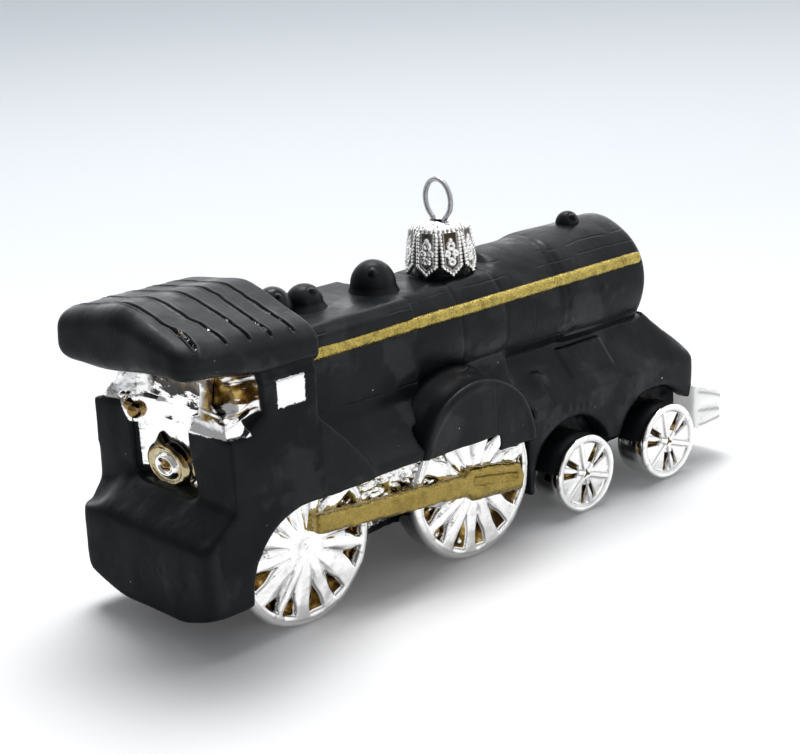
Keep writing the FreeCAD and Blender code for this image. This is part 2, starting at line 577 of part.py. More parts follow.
def make_board(barrel, casing):
    splashers = []
    for side, word in SIDES:
        body = doc.addObject("PartDesign::Body", "splasher_disc_" + word)
        circle = round_profile(body, "splasher_arc_" + word, "XY_Plane", "splasher_radius", "0", "0", "0")
        disc = body.newObject("PartDesign::Pad", "splasher_pad_" + word)
        disc.Profile = circle
        bind(disc, Length="cab_half_width - splasher_inner")
        doc.recompute()
        rim = edges_where(disc, lambda edge: edge.BoundBox.ZMin > value_of("cab_half_width - splasher_inner") - 0.01)
        round_off(body, disc, "splasher_rounding", rim)
        inner = "-splasher_inner" if side == RIGHT else "splasher_inner"
        place(body, f"{FRONT_AXLE} + splasher_offset", inner, "splasher_height",
              OUT_RIGHT if side == RIGHT else OUT_LEFT)
        below = box("below_splasher_" + word, "-tail", "-tail", "-tail", "2 * tail", "2 * tail",
                    "tail + frame_top")
        splashers.append(keep(cut("splasher_" + word, body, below, casing), "splasher_" + word))
        splashers.append(make_rear_splasher(side, word, casing))
    foot = [("board_half_width", "frame_top"), ("board_half_width", "board_lip"), ("firebox_foot", "board_edge")]
    points = foot + [(f"-{across}", up) for across, up in reversed(foot)]
    board, pad = prism("board_slab", "YZ_Plane", points, CAB_FRONT, f"{BLOCK_BACK} - {CAB_FRONT}")
    keep(cut("running_board", board, *splashers), "running_board")
    points = [("-splasher_inner", "board_edge"), ("splasher_inner", "board_edge"),
              ("cradle_crest_half", "cradle_crest"), ("-cradle_crest_half", "cradle_crest")]
    cradle, pad = prism("cradle_whole", "YZ_Plane", points, FIREBOX_FRONT, f"{BLOCK_BACK} - {FIREBOX_FRONT}")
    keep(cut("boiler_cradle", cradle, barrel), "boiler_cradle")


def make_block(*boiler):
    first, second = LEADING_AXLES
    points = [(BLOCK_BACK, "block_bottom"), (first, "block_bottom"), (first, "block_waist"),
              (second, "block_waist"), (BLOCK_FRONT, "block_nose_bottom"), (BLOCK_FRONT, "block_top"),
              (BLOCK_BACK, "block_top")]
    arches = [drum(f"leading_arch_{number}", "leading_arch", f"2 * {BLOCK_HALF}", axle, BLOCK_HALF,
                   "leading_radius", OUT_RIGHT) for number, axle in enumerate(LEADING_AXLES, 1)]
    for side, word in SIDES:
        block, pad = side_prism("block_whole_" + word, points, "frame_half_width", BLOCK_HALF, side)
        keep(cut("cylinder_block_" + word, block, *arches), "cylinder_block_" + word)
    keep(box("block_deck", BLOCK_BACK, "-frame_half_width", "frame_top", f"{BLOCK_FRONT} - {BLOCK_BACK}",
             "2 * frame_half_width", "block_top - frame_top"), "block_deck")

    body = doc.addObject("PartDesign::Body", "saddle_whole")
    sections = []
    for name, height, front, half in (("saddle_foot", "block_top", BLOCK_FRONT, BLOCK_HALF),
                                      ("saddle_crest", "saddle_top", f"{BLOCK_FRONT} - saddle_front_slope",
                                       "saddle_top_half")):
        corners = [(BLOCK_BACK, f"-{half}"), (front, f"-{half}"), (front, half), (BLOCK_BACK, half)]
        sections.append(outline(body, name, "XY_Plane", corners, height))
    loft = body.newObject("PartDesign::AdditiveLoft", "saddle_loft")
    loft.Profile = sections[0]
    loft.Sections = [sections[1]]
    body.Tip = loft
    keep(cut("smokebox_saddle", body, *boiler), "smokebox_saddle")


def make_pilot():
    """The pilot's plan and side outline, each padded; the pilot is what they share."""
    tip = f"({BLOCK_FRONT} + pilot_length)"
    half = [(BLOCK_FRONT, "pilot_half_width"), (f"{tip} - pilot_shoulder", "pilot_half_width"), (tip, "pilot_flat")]
    points = [(along, f"-{across}") for along, across in half] + half[::-1]
    plan, plan_pad = prism("pilot_plan", "XY_Plane", points, "pilot_bottom", "pilot_top - pilot_bottom")
    points = [(BLOCK_FRONT, "pilot_bottom"), (f"{tip} - pilot_rake", "pilot_bottom"), (tip, "pilot_lip"),
              (f"{tip} - pilot_brow_back", "pilot_brow"), (BLOCK_FRONT, "pilot_top")]
    side, side_pad = prism("pilot_side", "XZ_Plane", points, "-pilot_half_width", "2 * pilot_half_width")
    pilot = doc.addObject("Part::MultiCommon", "pilot")
    pilot.Shapes = [plan, side]
    keep(pilot, "pilot")


# Neck, cap and wire ring
def make_hanger():
    neck_height = f"cap_shoulder - neck_top_gap - {WELL_BOTTOM}"
    tube = drum("neck_tube", "neck_radius", neck_height, NECK, "0", WELL_BOTTOM)
    bore = drum("neck_bore", "neck_radius - neck_wall", neck_height, NECK, "0", WELL_BOTTOM)
    keep(cut("neck", tube, bore), "neck")

    body = doc.addObject("PartDesign::Body", "cap_crown")
    crown = "(cap_shoulder + cap_crown_rise)"
    points = [("0", f"{crown} - cap_wall"), (f"{CAP_RADIUS} - crown_slope", f"{crown} - cap_wall"),
              (f"{CAP_RADIUS} - cap_wall", "cap_shoulder - cap_wall / 2"),
              (f"{CAP_RADIUS} - cap_wall + petal_flare", "cap_tip"), (f"{CAP_RADIUS} + petal_flare", "cap_tip"),
              (CAP_RADIUS, "cap_shoulder"), (f"{CAP_RADIUS} - crown_slope", crown), ("0", crown)]
    section = outline(body, "cap_section", "XZ_Plane", points)
    turned = body.newObject("PartDesign::Revolution", "cap_turned")
    turned.Profile = section
    turned.ReferenceAxis = (section, ["V_Axis"])
    turned.Angle = 360
    body.Tip = turned
    corners = [("-slot_width / 2", "-slot_length / 2"), ("slot_width / 2", "-slot_length / 2"),
               ("slot_width / 2", "slot_length / 2"), ("-slot_width / 2", "slot_length / 2")]
    slot_plan = outline(body, "slot_plan", "XY_Plane", corners, f"{crown} + cap_wall")
    slot = body.newObject("PartDesign::Pocket", "cap_slot")
    slot.Profile = slot_plan
    bind(slot, Length="3 * cap_wall")
    body.Tip = slot
    pitch = f"(({CAP_RADIUS} + petal_flare) * tan(180 / petal_count))"
    notch = [("-petal_gap / 2", "cap_shoulder - slit_top_gap"), ("-petal_gap / 2", "cap_tip + petal_point"),
             (f"-{pitch}", "cap_tip"), (f"-{pitch}", "cap_tip - cap_wall"), (pitch, "cap_tip - cap_wall"),
             (pitch, "cap_tip"), ("petal_gap / 2", "cap_tip + petal_point"),
             ("petal_gap / 2", "cap_shoulder - slit_top_gap")]
    slit_plan = outline(body, "slit_plan", "YZ_Plane", notch)
    slit = body.newObject("PartDesign::Pocket", "cap_slit")
    slit.Profile = slit_plan
    bind(slit, Length=f"2 * {CAP_RADIUS}")
    body.Tip = slit
    around = body.newObject("PartDesign::PolarPattern", "cap_petals")
    around.Originals = [slit]
    around.Axis = (section, ["V_Axis"])
    around.Angle = 360
    bind(around, Occurrences="petal_count")
    body.Tip = around
    keep(place(body, NECK), "cap_crown")

    ring = doc.addObject("Part::Torus", "wire_ring")
    bind(ring, Radius1="ring_radius", Radius2="wire_radius")
    centre = "(ring_top - wire_radius - ring_radius)"
    place(ring, NECK, "0", centre, ALONG_X)
    legs = []
    rise = f"({centre} - sqrt(ring_radius * ring_radius - leg_waist * leg_waist) - leg_bottom)"
    for side, word in SIDES:
        leg = drum("wire_leg_" + word, "wire_radius", f"sqrt({rise} * {rise} + (leg_spread - leg_waist)^2)",
                   NECK, f"{side} * leg_spread", "leg_bottom", Rotation(Vector(1, 0, 0), 1))
        lean = f"{side} * atan((leg_spread - leg_waist) / {rise})"
        bind(leg, Placement__Rotation__Angle=lean)
        legs.append(leg)
    wire = doc.addObject("Part::MultiFuse", "hanger_wire")
    wire.Shapes = [ring] + legs
    keep(wire, "hanger_wire")


# Whole ornament
barrel_round, barrel_seated, smokebox_body, door_disc = make_boiler()
casing_body = make_firebox()
make_dome("steam_dome", "steam_dome_radius", "steam_dome_top", f"{FIREBOX_FRONT} + steam_dome_set_back",
          casing_body, barrel_seated)
make_dome("sand_dome", "sand_dome_radius", "sand_dome_top",
          f"{FIREBOX_FRONT} + steam_dome_set_back - sand_dome_gap", casing_body)
make_dome("valve_dome", "valve_dome_radius", "valve_dome_top",
          f"{FIREBOX_FRONT} + steam_dome_set_back - sand_dome_gap - valve_dome_gap", casing_body)
make_dome("bell_dome", "bell_radius", "bell_top", f"{SMOKEBOX_FRONT} - bell_set_back", smokebox_body)
make_handrails(barrel_round, smokebox_body, casing_body)
cab_panels, cab_silver, cab_posts = make_cab()
make_roof(casing_body)
apron_body = make_apron()
make_backhead(cab_silver, cab_posts, apron_body)
make_running_gear(cab_panels, apron_body)
make_board(barrel_round, casing_body)
make_block(barrel_round, smokebox_body, door_disc)
make_pilot()
make_hanger()
doc.recompute()

# Check and export
for item in doc.Objects:
    if {"Invalid", "Error"} & set(item.State):
        raise RuntimeError(f"{item.Label} failed: {item.State}")
for item in finished:
    if item.Shape.isNull() or not item.Shape.isValid():
        raise RuntimeError(f"{item.Label} has no valid shape")
os.makedirs("parts", exist_ok=True)
for item in finished:
    item.Shape.exportStep(f"parts/{item.Label}.step")
    extent = item.Shape.BoundBox
    print(f"{item.Label:26s} solids {len(item.Shape.Solids)}  volume {item.Shape.Volume:9.2f}  "
          f"x {extent.XMin:6.1f}..{extent.XMax:6.1f}  y {extent.YMin:6.1f}..{extent.YMax:6.1f}  "
          f"z {extent.ZMin:6.1f}..{extent.ZMax:6.1f}")
print(len(finished), "nodes")
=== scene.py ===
# %% [markdown]
# A blown-glass tree ornament in the form of a steam locomotive. The glass was blown into a mould,
# silvered inside, and painted black and gold outside. A stamped metal cap holds a wire ring.
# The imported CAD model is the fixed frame: every piece below takes its place from it.
# +X is the locomotive's front, +Z is up and -Y is its right side, the one that the camera sees.

# %% Load the frame and keep the CAD box
from math import atan2, cos, exp, floor, hypot, pi, radians, sin, sqrt, tau

import bmesh
import bpy
from bmesh import ops
from mathutils import Matrix, Vector
from mathutils.noise import cell, noise


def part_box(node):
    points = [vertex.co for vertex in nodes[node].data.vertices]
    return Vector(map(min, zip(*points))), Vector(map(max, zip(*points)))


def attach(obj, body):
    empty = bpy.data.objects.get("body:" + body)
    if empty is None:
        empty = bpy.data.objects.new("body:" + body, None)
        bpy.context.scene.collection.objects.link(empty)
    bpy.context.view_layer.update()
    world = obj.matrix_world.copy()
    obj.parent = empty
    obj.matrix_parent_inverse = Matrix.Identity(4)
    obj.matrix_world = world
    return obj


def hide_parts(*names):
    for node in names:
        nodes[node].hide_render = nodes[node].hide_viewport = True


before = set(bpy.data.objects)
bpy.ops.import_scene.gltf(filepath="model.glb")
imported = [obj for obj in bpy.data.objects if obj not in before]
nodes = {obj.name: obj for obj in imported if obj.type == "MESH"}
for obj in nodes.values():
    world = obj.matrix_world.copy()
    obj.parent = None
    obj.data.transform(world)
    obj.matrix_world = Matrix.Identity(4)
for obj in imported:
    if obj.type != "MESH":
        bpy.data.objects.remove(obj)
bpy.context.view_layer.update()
MM = 0.001
SIDES = ((-1, "right"), (1, "left"))


def add_object(name, data):
    """Put data into the scene as an object."""
    thing = bpy.data.objects.new(name, data)
    bpy.context.scene.collection.objects.link(thing)
    return thing


# %% [markdown]
# The camera comes first. Its place was fitted to the photograph with the wheels, the boiler and
# the cap: it looks along the right side from behind, from a little above, and it is rolled by
# three degrees.

# %% Camera
AZIMUTH = radians(-40.555)
ELEVATION = radians(17.634)
ROLL = radians(-3.26)
back = Vector((sin(AZIMUTH) * cos(ELEVATION), -cos(AZIMUTH) * cos(ELEVATION),
               sin(ELEVATION)))
right = (-back).cross(Vector((0, 0, 1))).normalized()
up = right.cross(-back)
rolled_right = right * cos(ROLL) + up * sin(ROLL)
rolled_up = up * cos(ROLL) - right * sin(ROLL)
camera_data = bpy.data.cameras.new("camera")
camera_data.sensor_width = 36
camera_data.lens = 90.08
camera_data.clip_start = 0.01
camera = add_object("camera", camera_data)
camera.matrix_world = Matrix((rolled_right, rolled_up, back)).transposed().to_4x4()
camera.location = (-0.25912, -0.2956, 0.15761)
bpy.context.scene.camera = camera
bpy.context.scene.view_settings.view_transform = "Standard"
print("camera stands", round(camera.location.length, 3), "m from the ornament")

# %% [markdown]
# Materials are node trees. Clicking nodes together hides the sums in them, so a small class wraps
# a socket and gives it Python's operators, and a material is then written as a formula.

# %% A socket with Python's operators
class Signal:
    """A number that changes over the surface; each operator adds one Math node."""

    def __init__(self, finish, socket):
        self.finish = finish
        self.socket = socket

    def maths(self, operation, *values):
        return self.finish.node("Math", {"operation": operation}, values)

    def __sub__(self, other):
        return self.maths("SUBTRACT", self, other)

    def __rsub__(self, other):
        return self.maths("SUBTRACT", other, self)

    def __add__(self, other):
        return self.maths("ADD", self, other)

    def __mul__(self, other):
        return self.maths("MULTIPLY", self, other)

    def __and__(self, other):
        return self.maths("MINIMUM", self, other)

    def __or__(self, other):
        return self.maths("MAXIMUM", self, other)

    def __abs__(self):
        return self.maths("ABSOLUTE", self)

    __radd__ = __add__

    def rise(self, low, high):
        """0 below low, 1 above high, smooth between them."""
        return self.finish.node("MapRange", {"interpolation_type": "SMOOTHSTEP"},
                                {"Value": self, "From Min": low, "From Max": high})


# %% A material written as formulas
class Finish:
    """One material: its Principled shader, and the patterns that feed it, in millimetres."""

    def __init__(self, name, **constants):
        self.material = bpy.data.materials.new(name)
        self.material.use_nodes = True
        self.tree = self.material.node_tree
        self.shader = self.tree.nodes["Principled BSDF"]
        for socket, value in constants.items():
            self.shader.inputs[socket.replace("_", " ")].default_value = value
        self.plain = Signal(self, self.shader.outputs[0])
        place = self.node("TexCoord", {}, {}, "Object")
        self.set_place(self.node("VectorMath", {"operation": "SCALE"}, {0: place, "Scale": 1 / MM}))

    def set_place(self, place):
        """Take a place signal, and split it, for patterns that depend on where a point is."""
        self.place = place
        self.x, self.y, self.z = [self.node("SeparateXYZ", {}, [place], axis) for axis in "XYZ"]

    def node(self, kind, settings, sockets, output=0):
        """Add a node, set it up, then fill its sockets with values or links."""
        node = self.tree.nodes.new("ShaderNode" + kind)
        for name, value in settings.items():
            if name == "stops":
                ramp = node.color_ramp.elements
                while len(ramp) < len(value):
                    ramp.new(0.5)
                for stop, (position, colour) in zip(ramp, value):
                    stop.position = position
                    stop.color = (*colour, 1)
            else:
                setattr(node, name, value)
        for key, value in sockets.items() if isinstance(sockets, dict) else enumerate(sockets):
            if isinstance(value, Signal):
                self.tree.links.new(value.socket, node.inputs[key])
            else:
                node.inputs[key].default_value = value
        return Signal(self, node.outputs[output])

    def cloud(self, scale, detail=3, roughness=0.5, stretch=None):
        """Noise from 0 to 1; scale counts its cells in one millimetre."""
        where = self.place
        if stretch:
            where = self.node("VectorMath", {"operation": "MULTIPLY"}, [where, stretch])
        return self.node("TexNoise", {}, {"Vector": where, "Scale": scale, "Detail": detail,
                                          "Roughness": roughness})

    def cells(self, scale, output="Distance"):
        """The distance to the nearest of many scattered points, or its chance colour."""
        return self.node("TexVoronoi", {}, {"Vector": self.place, "Scale": scale}, output)

    def mark(self, name):
        """A pattern that the mesh carries with it, from 0 to 1."""
        return self.node("Attribute", {"attribute_name": name}, {}, "Fac")

    def ray(self, kind):
        """1 where light is followed as a ray of this kind, else 0."""
        return self.node("LightPath", {}, {}, f"Is {kind} Ray")

    def blend(self, share, first, second):
        """Mix two colours."""
        first, second = [(*c, 1) if isinstance(c, tuple) else c for c in (first, second)]
        return self.node("Mix", {"data_type": "RGBA"}, {0: share, 6: first, 7: second}, 2)

    def feed(self, **links):
        """Link patterns to inputs of the Principled shader."""
        for socket, signal in links.items():
            self.tree.links.new(signal.socket, self.shader.inputs[socket.replace("_", " ")])
        return self

    def bump(self, height):
        """Raise the surface by a height in millimetres, in the shading only."""
        sockets = {"Height": height, "Distance": MM, "Strength": 1}
        return self.feed(Normal=self.node("Bump", {}, sockets, "Normal"))

    def show(self, surface):
        """Let another shader than the Principled one be the surface."""
        self.tree.links.new(surface.socket, self.tree.nodes["Material Output"].inputs["Surface"])


# %% [markdown]
# Black paint is satin, not deep gloss. Where it is brushed thin it is a little lighter and cooler,
# and tiny nicks let the silver under it show. The same material can leave parts of the glass bare:
# the silvered glass then mirrors the room, with amber where the inside is tinted.

# %% Black paint over silvered glass
BLACK = (0.0054, 0.0068, 0.0086)
BLACK_THIN = (0.0108, 0.0136, 0.015)
SILVER = (0.95, 0.95, 0.94)
# The grey of painted shade and painted reflections on bare silvered glass.
SHADE = (0.024, 0.023, 0.021)
REAR_SHADE_BLACK = (0.016, 0.018, 0.02, 1)
AMBER_RANGE = [(0.42, (0.034, 0.016, 0.004)), (0.55, (0.16, 0.09, 0.018)),
               (0.69, (0.44, 0.31, 0.11))]


def silver_colour(finish, amber, shade):
    """Mirror silver, with shares from 0 to 1 of painted grey reflections and of amber lacquer."""
    warm = finish.node("ValToRGB", {"stops": AMBER_RANGE}, [finish.cloud(0.42, 2.5)])
    return finish.blend(amber, finish.blend(shade, SILVER, SHADE), warm)


def painted_glass(name, bare=None, amber=None, shade=None, cracks=None, glossy=False, shine=0.17):
    """Satin paint; functions say where the glass is bare, amber or painted grey as shade, and where paint
    cracks.
    """
    finish = Finish(name, Specular_IOR_Level=shine, Coat_Roughness=0.14)
    thin = finish.cloud(0.07, 4, 0.55).rise(0.42, 0.72)
    nicks = finish.cells(0.55).rise(0.075, 0.05) * finish.cloud(0.23, 2).rise(0.62, 0.68)
    silver = nicks if bare is None else bare(finish) | nicks
    tint = finish.cloud(0.35, 3).rise(0.5, 0.62) if amber is None else amber(finish)
    glass = silver_colour(finish, tint, 0 if shade is None else shade(finish))
    colour = finish.blend(thin, BLACK, BLACK_THIN)
    smears = finish.cloud(0.5, 4, 0.65) * 0.18
    rough = smears + 0.34 - finish.cloud(0.1, 3).rise(0.5, 0.62) * 0.14
    if glossy:
        rough = rough * (1 - finish.mark("recess").rise(0.2, 0.7) * 0.8)
    finish.feed(Base_Color=finish.blend(silver, colour, glass), Metallic=silver,
                Roughness=rough * (1 - silver) + silver * 0.07,
                Coat_Weight=finish.cloud(0.09, 4, 0.6).rise(0.5, 0.6) * (1 - silver) * 0.22)
    grain = finish.cloud(2.4, 3, 0.6) * 0.012 + finish.cloud(0.22, 2) * 0.25
    if cracks is not None:
        grain = grain - cracks(finish) * 0.09
    finish.bump(grain - silver * 0.03)
    # Painted shade: faces that look to the rear get a dull, darker copy of the paint,
    # for the shaded floor that they would mirror.
    matte = finish.node("BsdfDiffuse", {}, {"Color": REAR_SHADE_BLACK}, "BSDF")
    share = finish.mark("rearward").rise(0.3, 0.9) * (1 - silver) * 0.7
    finish.show(finish.node("MixShader", {}, [share, finish.plain, matte]))
    return finish.material


# %% Bare silvered glass
def silvered_glass(name, streaks, metal=1):
    """Mirror silver, amber where it is marked as recess, with painted grey reflections where it is marked
    as shade.
    """
    # Glass that is hardly silvered lets light through from behind, which its emission stands for.
    through = 0.3 * (1 - metal)
    finish = Finish(name, Metallic=metal, Emission_Color=(1, 1, 1, 1), Emission_Strength=through)
    deep = finish.mark("recess").rise(0.35, 0.6) * finish.cloud(0.3, 2).rise(0.3, 0.36)
    # Painted reflections: grey where marked as shade, and in streaks by the given share.
    shade = finish.mark("shade") | finish.cloud(0.34, 4, 0.6).rise(0.55, 0.66) * streaks
    finish.feed(Base_Color=silver_colour(finish, deep, shade),
                Roughness=finish.cloud(0.6, 3) * 0.05 + 0.03 + deep * 0.08)
    return finish.bump(finish.cloud(0.3, 2) * 0.3 + finish.cloud(1.3, 2) * 0.045).material


def ringed_glass(name):
    """The boss's glass: silver, khaki, brown and dark olive by its mark."""
    finish = Finish(name, Metallic=1, Roughness=0.08)
    rings = [(0, SILVER), (0.4, (0.5, 0.44, 0.27)), (0.72, (0.26, 0.15, 0.045)),
             (1, (0.03, 0.028, 0.02))]
    level = finish.mark("recess") + (finish.cloud(0.9, 3) - 0.5) * 0.35
    finish.feed(Base_Color=finish.node("ValToRGB", {"stops": rings}, [level]))
    return finish.bump(finish.cloud(0.5, 3) * 0.25).material


# %% Gold paint, metal cap and wire
def gold_paint(name, light, dark, glitter, rough):
    """Paint of metal flakes, worn darker in places; glitter says how far the flakes differ."""
    finish = Finish(name, Metallic=0.96)
    flakes = finish.cells(3.4, "Color")
    worn = finish.cloud(0.45, 4, 0.6).rise(0.4, 0.66)
    level = finish.node("SeparateColor", {}, [flakes])
    finish.feed(Base_Color=finish.blend(worn * 0.35 + level * glitter * 0.45, light, dark),
                Roughness=finish.cloud(1.2, 3) * 0.2 + rough)
    return finish.bump(level * glitter * 0.045 + finish.cloud(1.5, 3, 0.6) * 0.16).material


def stamped_metal(name, light, dark, rough, grain):
    """Metal that is darker in its marked recesses, as painted shade."""
    finish = Finish(name, Metallic=1)
    deep = finish.mark("recess").rise(0.12, 0.85)
    finish.feed(Base_Color=finish.blend(deep, light, dark),
                Roughness=finish.cloud(2, 3) * 0.12 + rough)
    return finish.bump(finish.cloud(grain, 3, 0.7) * 0.1).material


GOLD_STRIPE = gold_paint("gold_stripe_paint", (0.6, 0.47, 0.12), (0.1, 0.07, 0.014), 1, 0.18)
GOLD_ROD = gold_paint("antique_gold_paint", (0.37, 0.275, 0.075), (0.13, 0.088, 0.016), 0.45, 0.16)
MIRROR = silvered_glass("silvered_glass", 0.2)
GEAR_GLASS = silvered_glass("crumpled_glass", 0.8)
PILOT_GLASS = silvered_glass("pale_glass", 0.2, metal=0.15)
BOSS_GLASS = ringed_glass("boss_glass")
CAP_METAL = stamped_metal("stamped_cap_metal", (0.92, 0.92, 0.91), (0.06, 0.045, 0.03), 0.12, 1.8)
WIRE = stamped_metal("drawn_wire", (0.4, 0.41, 0.43), (0.4, 0.4, 0.4), 0.16, 3)
print("materials:", [m.name for m in bpy.data.materials])

# %% [markdown]
# Most forms start in a bmesh in millimetres. Helpers turn an outline round an axis, pull a flat
# outline into a block, and hand a finished bmesh to the frame as one piece.

# %% Helpers for forms
# Points closer than this are one; the cap stands at this place along the boiler. Millimetres.
MERGE = 0.0005
CAP_X = 6.6
FORWARD, BACKWARD, LEFTWARD, UPWARD, DOWNWARD = (1, 0, 0), (-1, 0, 0), (0, 1, 0), (0, 0, 1), (0, 0, -1)


def marks(bm, *names):
    """Layers of numbers that a form's points carry, for the materials to read."""
    return [bm.verts.layers.float.new(name) for name in names]


def to_mesh(bm, name):
    """Turn a bmesh into a mesh, and free it."""
    mesh = bpy.data.meshes.new(name)
    bm.to_mesh(mesh)
    bm.free()
    return mesh


def to_bmesh(thing):
    """Turn an object, with its modifiers or its bevel, into a bmesh, and remove it."""
    seen = thing.evaluated_get(bpy.context.evaluated_depsgraph_get())
    mesh = bpy.data.meshes.new_from_object(seen)
    bpy.data.objects.remove(thing)
    bm = bmesh.new()
    bm.from_mesh(mesh)
    return bm


def lathe(bm, outline, centre, axis, steps=48):
    """Spin an outline of (along the axis, radius) pairs round the axis."""
    axis = Vector(axis).normalized()
    out = axis.orthogonal().normalized()
    centre = Vector(centre)
    verts = [bm.verts.new(centre + axis * along + out * radius) for along, radius in outline]
    edges = [bm.edges.new(pair) for pair in zip(verts, verts[1:])]
    ops.spin(bm, geom=verts + edges, cent=centre, axis=axis, angle=tau, steps=steps,
             use_merge=True, use_duplicate=False)
    ops.remove_doubles(bm, verts=bm.verts, dist=MERGE)


def block(bm, x, y, z, edge, segments):
    """A box between two places on each axis, with rounded edges."""
    made = ops.create_cube(bm, size=1)["verts"]
    ops.scale(bm, vec=[high - low for low, high in (x, y, z)], verts=made)
    ops.translate(bm, vec=[(low + high) / 2 for low, high in (x, y, z)], verts=made)
    edges = list({e for v in made for e in v.link_edges})
    ops.bevel(bm, geom=edges, offset=edge, affect="EDGES", segments=segments, profile=0.5,
              material=-1)


def plate(bm, points, low, high):
    """Pull a flat outline of (x, z) points sideways, from y = low to y = high."""
    face = bm.faces.new([bm.verts.new((x, low, z)) for x, z in points])
    pulled = ops.extrude_face_region(bm, geom=[face])["geom"]
    moved = [v for v in pulled if isinstance(v, bmesh.types.BMVert)]
    ops.translate(bm, vec=(0, high - low, 0), verts=moved)


def cad_forms(bm, *names):
    """Copy CAD nodes into a bmesh, in millimetres, with their loose triangles merged."""
    for name in names:
        old = set(bm.verts)
        bm.from_mesh(nodes[name].data)
        fresh = [v for v in bm.verts if v not in old]
        ops.scale(bm, vec=(1 / MM,) * 3, verts=fresh)
    ops.remove_doubles(bm, verts=bm.verts, dist=MERGE)


def box_of(name):
    """The lowest and highest corner of a CAD node, in millimetres."""
    return [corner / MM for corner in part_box(name)]


# %% Melt forms together, as glass does in a mould
def melt(bm, voxel, rounds):
    """One closed skin round all the forms in a bmesh, softened by rounds of smoothing."""
    ops.recalc_face_normals(bm, faces=bm.faces)
    forms = add_object("forms", to_mesh(bm, "forms"))
    remesh = forms.modifiers.new("skin", "REMESH")
    remesh.mode = "VOXEL"
    remesh.voxel_size = voxel
    skin = to_bmesh(forms)
    soften(skin, skin.verts, rounds)
    return skin


def soften(bm, verts, rounds):
    """Smooth some points, round after round."""
    verts = list(verts)
    for _ in range(rounds):
        ops.smooth_vert(bm, verts=verts, factor=0.5, use_axis_x=True, use_axis_y=True,
                        use_axis_z=True)


def soften_part(bm, rounds, x=(-99, 99), out=(-99, 99), z=(-99, 99)):
    """Smooth the points inside a box; out is their distance from the middle plane."""
    soften(bm, [v for v in bm.verts if x[0] < v.co.x < x[1] and out[0] < abs(v.co.y) < out[1]
                and z[0] < v.co.z < z[1]], rounds)


# %% Finish a piece
def finish_piece(bm, name, material, stands_for, body="glass", sharp=None):
    """Close the bmesh, scale it to metres and hand it to the frame."""
    ops.remove_doubles(bm, verts=bm.verts, dist=MERGE)
    ops.recalc_face_normals(bm, faces=bm.faces)
    for face in bm.faces:
        face.smooth = True
    bm.normal_update()
    # Each point says how far it looks back, for the painted shade on faces that look to the rear.
    (rearward,) = marks(bm, "rearward")
    for vert in bm.verts:
        vert[rearward] = max(0, -vert.normal.x)
    ops.scale(bm, vec=(MM,) * 3, verts=bm.verts)
    mesh = to_mesh(bm, name)
    if sharp:
        mesh.set_sharp_from_angle(angle=radians(sharp))
    mesh.materials.append(material)
    piece = add_object(name, mesh)
    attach(piece, body)
    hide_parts(*stands_for)
    print(f"{name}: {len(mesh.polygons)} faces")


# %% [markdown]
# The boiler, cab and blocks were one mould, so their forms flow into each other. Copies of the CAD
# forms are melted into one skin, more forms are added where the photograph shows them, and the
# skin is then cut along the plate joints of the real engine into its named pieces.

# %% Paint borders of the body
def cab_bare(finish):
    """Where the cab is left unpainted: side openings, windows and the back between the posts."""
    ragged = (finish.cloud(1.6, 3, 0.6) - 0.5) * 0.9
    x = finish.x + ragged
    y = finish.y + ragged * 0.5
    z = finish.z + ragged
    window = (3.2 - abs(x + 50.4)) & (z - 44.2 + ragged * 0.5) & (49.5 - z)
    sill = z - (x + 64.7) * 0.47 - 40.9
    opening = sill & (-56.9 - finish.x)
    left_post = (y - 10.2) & (y.rise(10.4, 15.9) * 4.6 + 37.4 - z)
    right_post = (-7.8 - y) & (39 - y * 0.08 - z)
    ledge = z - y * 0.05 - 27.7
    back_wall = (-60 - finish.x) & ledge & (0 - left_post) & (0 - right_post)
    return (window | opening | back_wall).rise(-0.1, 0.1)


def cab_amber(finish):
    """Amber streaks over the upper part of the side openings, and fading along the back wall."""
    streak = finish.cloud(0.26, 3, 0.6, (0.5, 0.5, 1.7))
    ridge = finish.z - finish.x * 0.33 - 65.1
    behind = (-56.6 - finish.x).rise(-0.2, 0.2)
    side = (-10 - finish.y).rise(-0.5, 2.5) * (ridge + streak * 3).rise(-0.2, 0.4)
    side = side * abs(ridge).rise(0.1, 0.3)
    under_roof = finish.z.rise(45.5, 49) * (finish.y - 2).rise(6, -2) * 0.8
    return (side * streak.rise(0.38, 0.46) | under_roof * streak.rise(0.42, 0.5)) * behind


def cab_shade(finish):
    """Painted reflection: the dark roof as mirrored in the wall under it, with a jagged edge, and grey
    streaks towards the left post.
    """
    jagged = finish.cloud(0.3, 4, 0.7, (0.55, 0.55, 1.5)) + finish.z.rise(41.5, 48) * 0.32
    behind = (-58.8 - finish.x).rise(-0.2, 0.2) * (9 - finish.y).rise(-0.5, 3)
    behind = behind * (finish.y + 9.5).rise(-1, 1.5)
    corner = finish.cloud(0.9, 3, 0.6, (0.5, 0.5, 1.6)).rise(0.52, 0.58)
    return jagged.rise(0.61, 0.66) * behind | corner * (finish.y - 8).rise(0, 2) * 0.5


def plate_cracks(finish):
    """Fine lines in the paint along the boiler, short and broken."""
    height = finish.z + (finish.cloud(0.16, 2) - 0.5) * 0.9
    cracks = 1 - abs(height - 52.2).rise(0.05, 0.22)
    for level in (54.3, 37):
        cracks = cracks | 1 - abs(height - level).rise(0.05, 0.22)
    for place in (0.5, 12.4, 20.8):
        hoop = finish.x + (finish.cloud(0.2, 2) - 0.5) * 0.6
        cracks = cracks | 1 - abs(hoop - place).rise(0.05, 0.2)
    return cracks * finish.cloud(0.11, 2).rise(0.45, 0.55)


def frame_bare(finish):
    """The frame is silver only behind the driving wheels, above a black lower edge."""
    ragged = (finish.cloud(1.2, 3, 0.65) - 0.5) * 2
    return (finish.z + ragged - 10.6 & 12 + ragged - finish.x).rise(-0.15, 0.15)


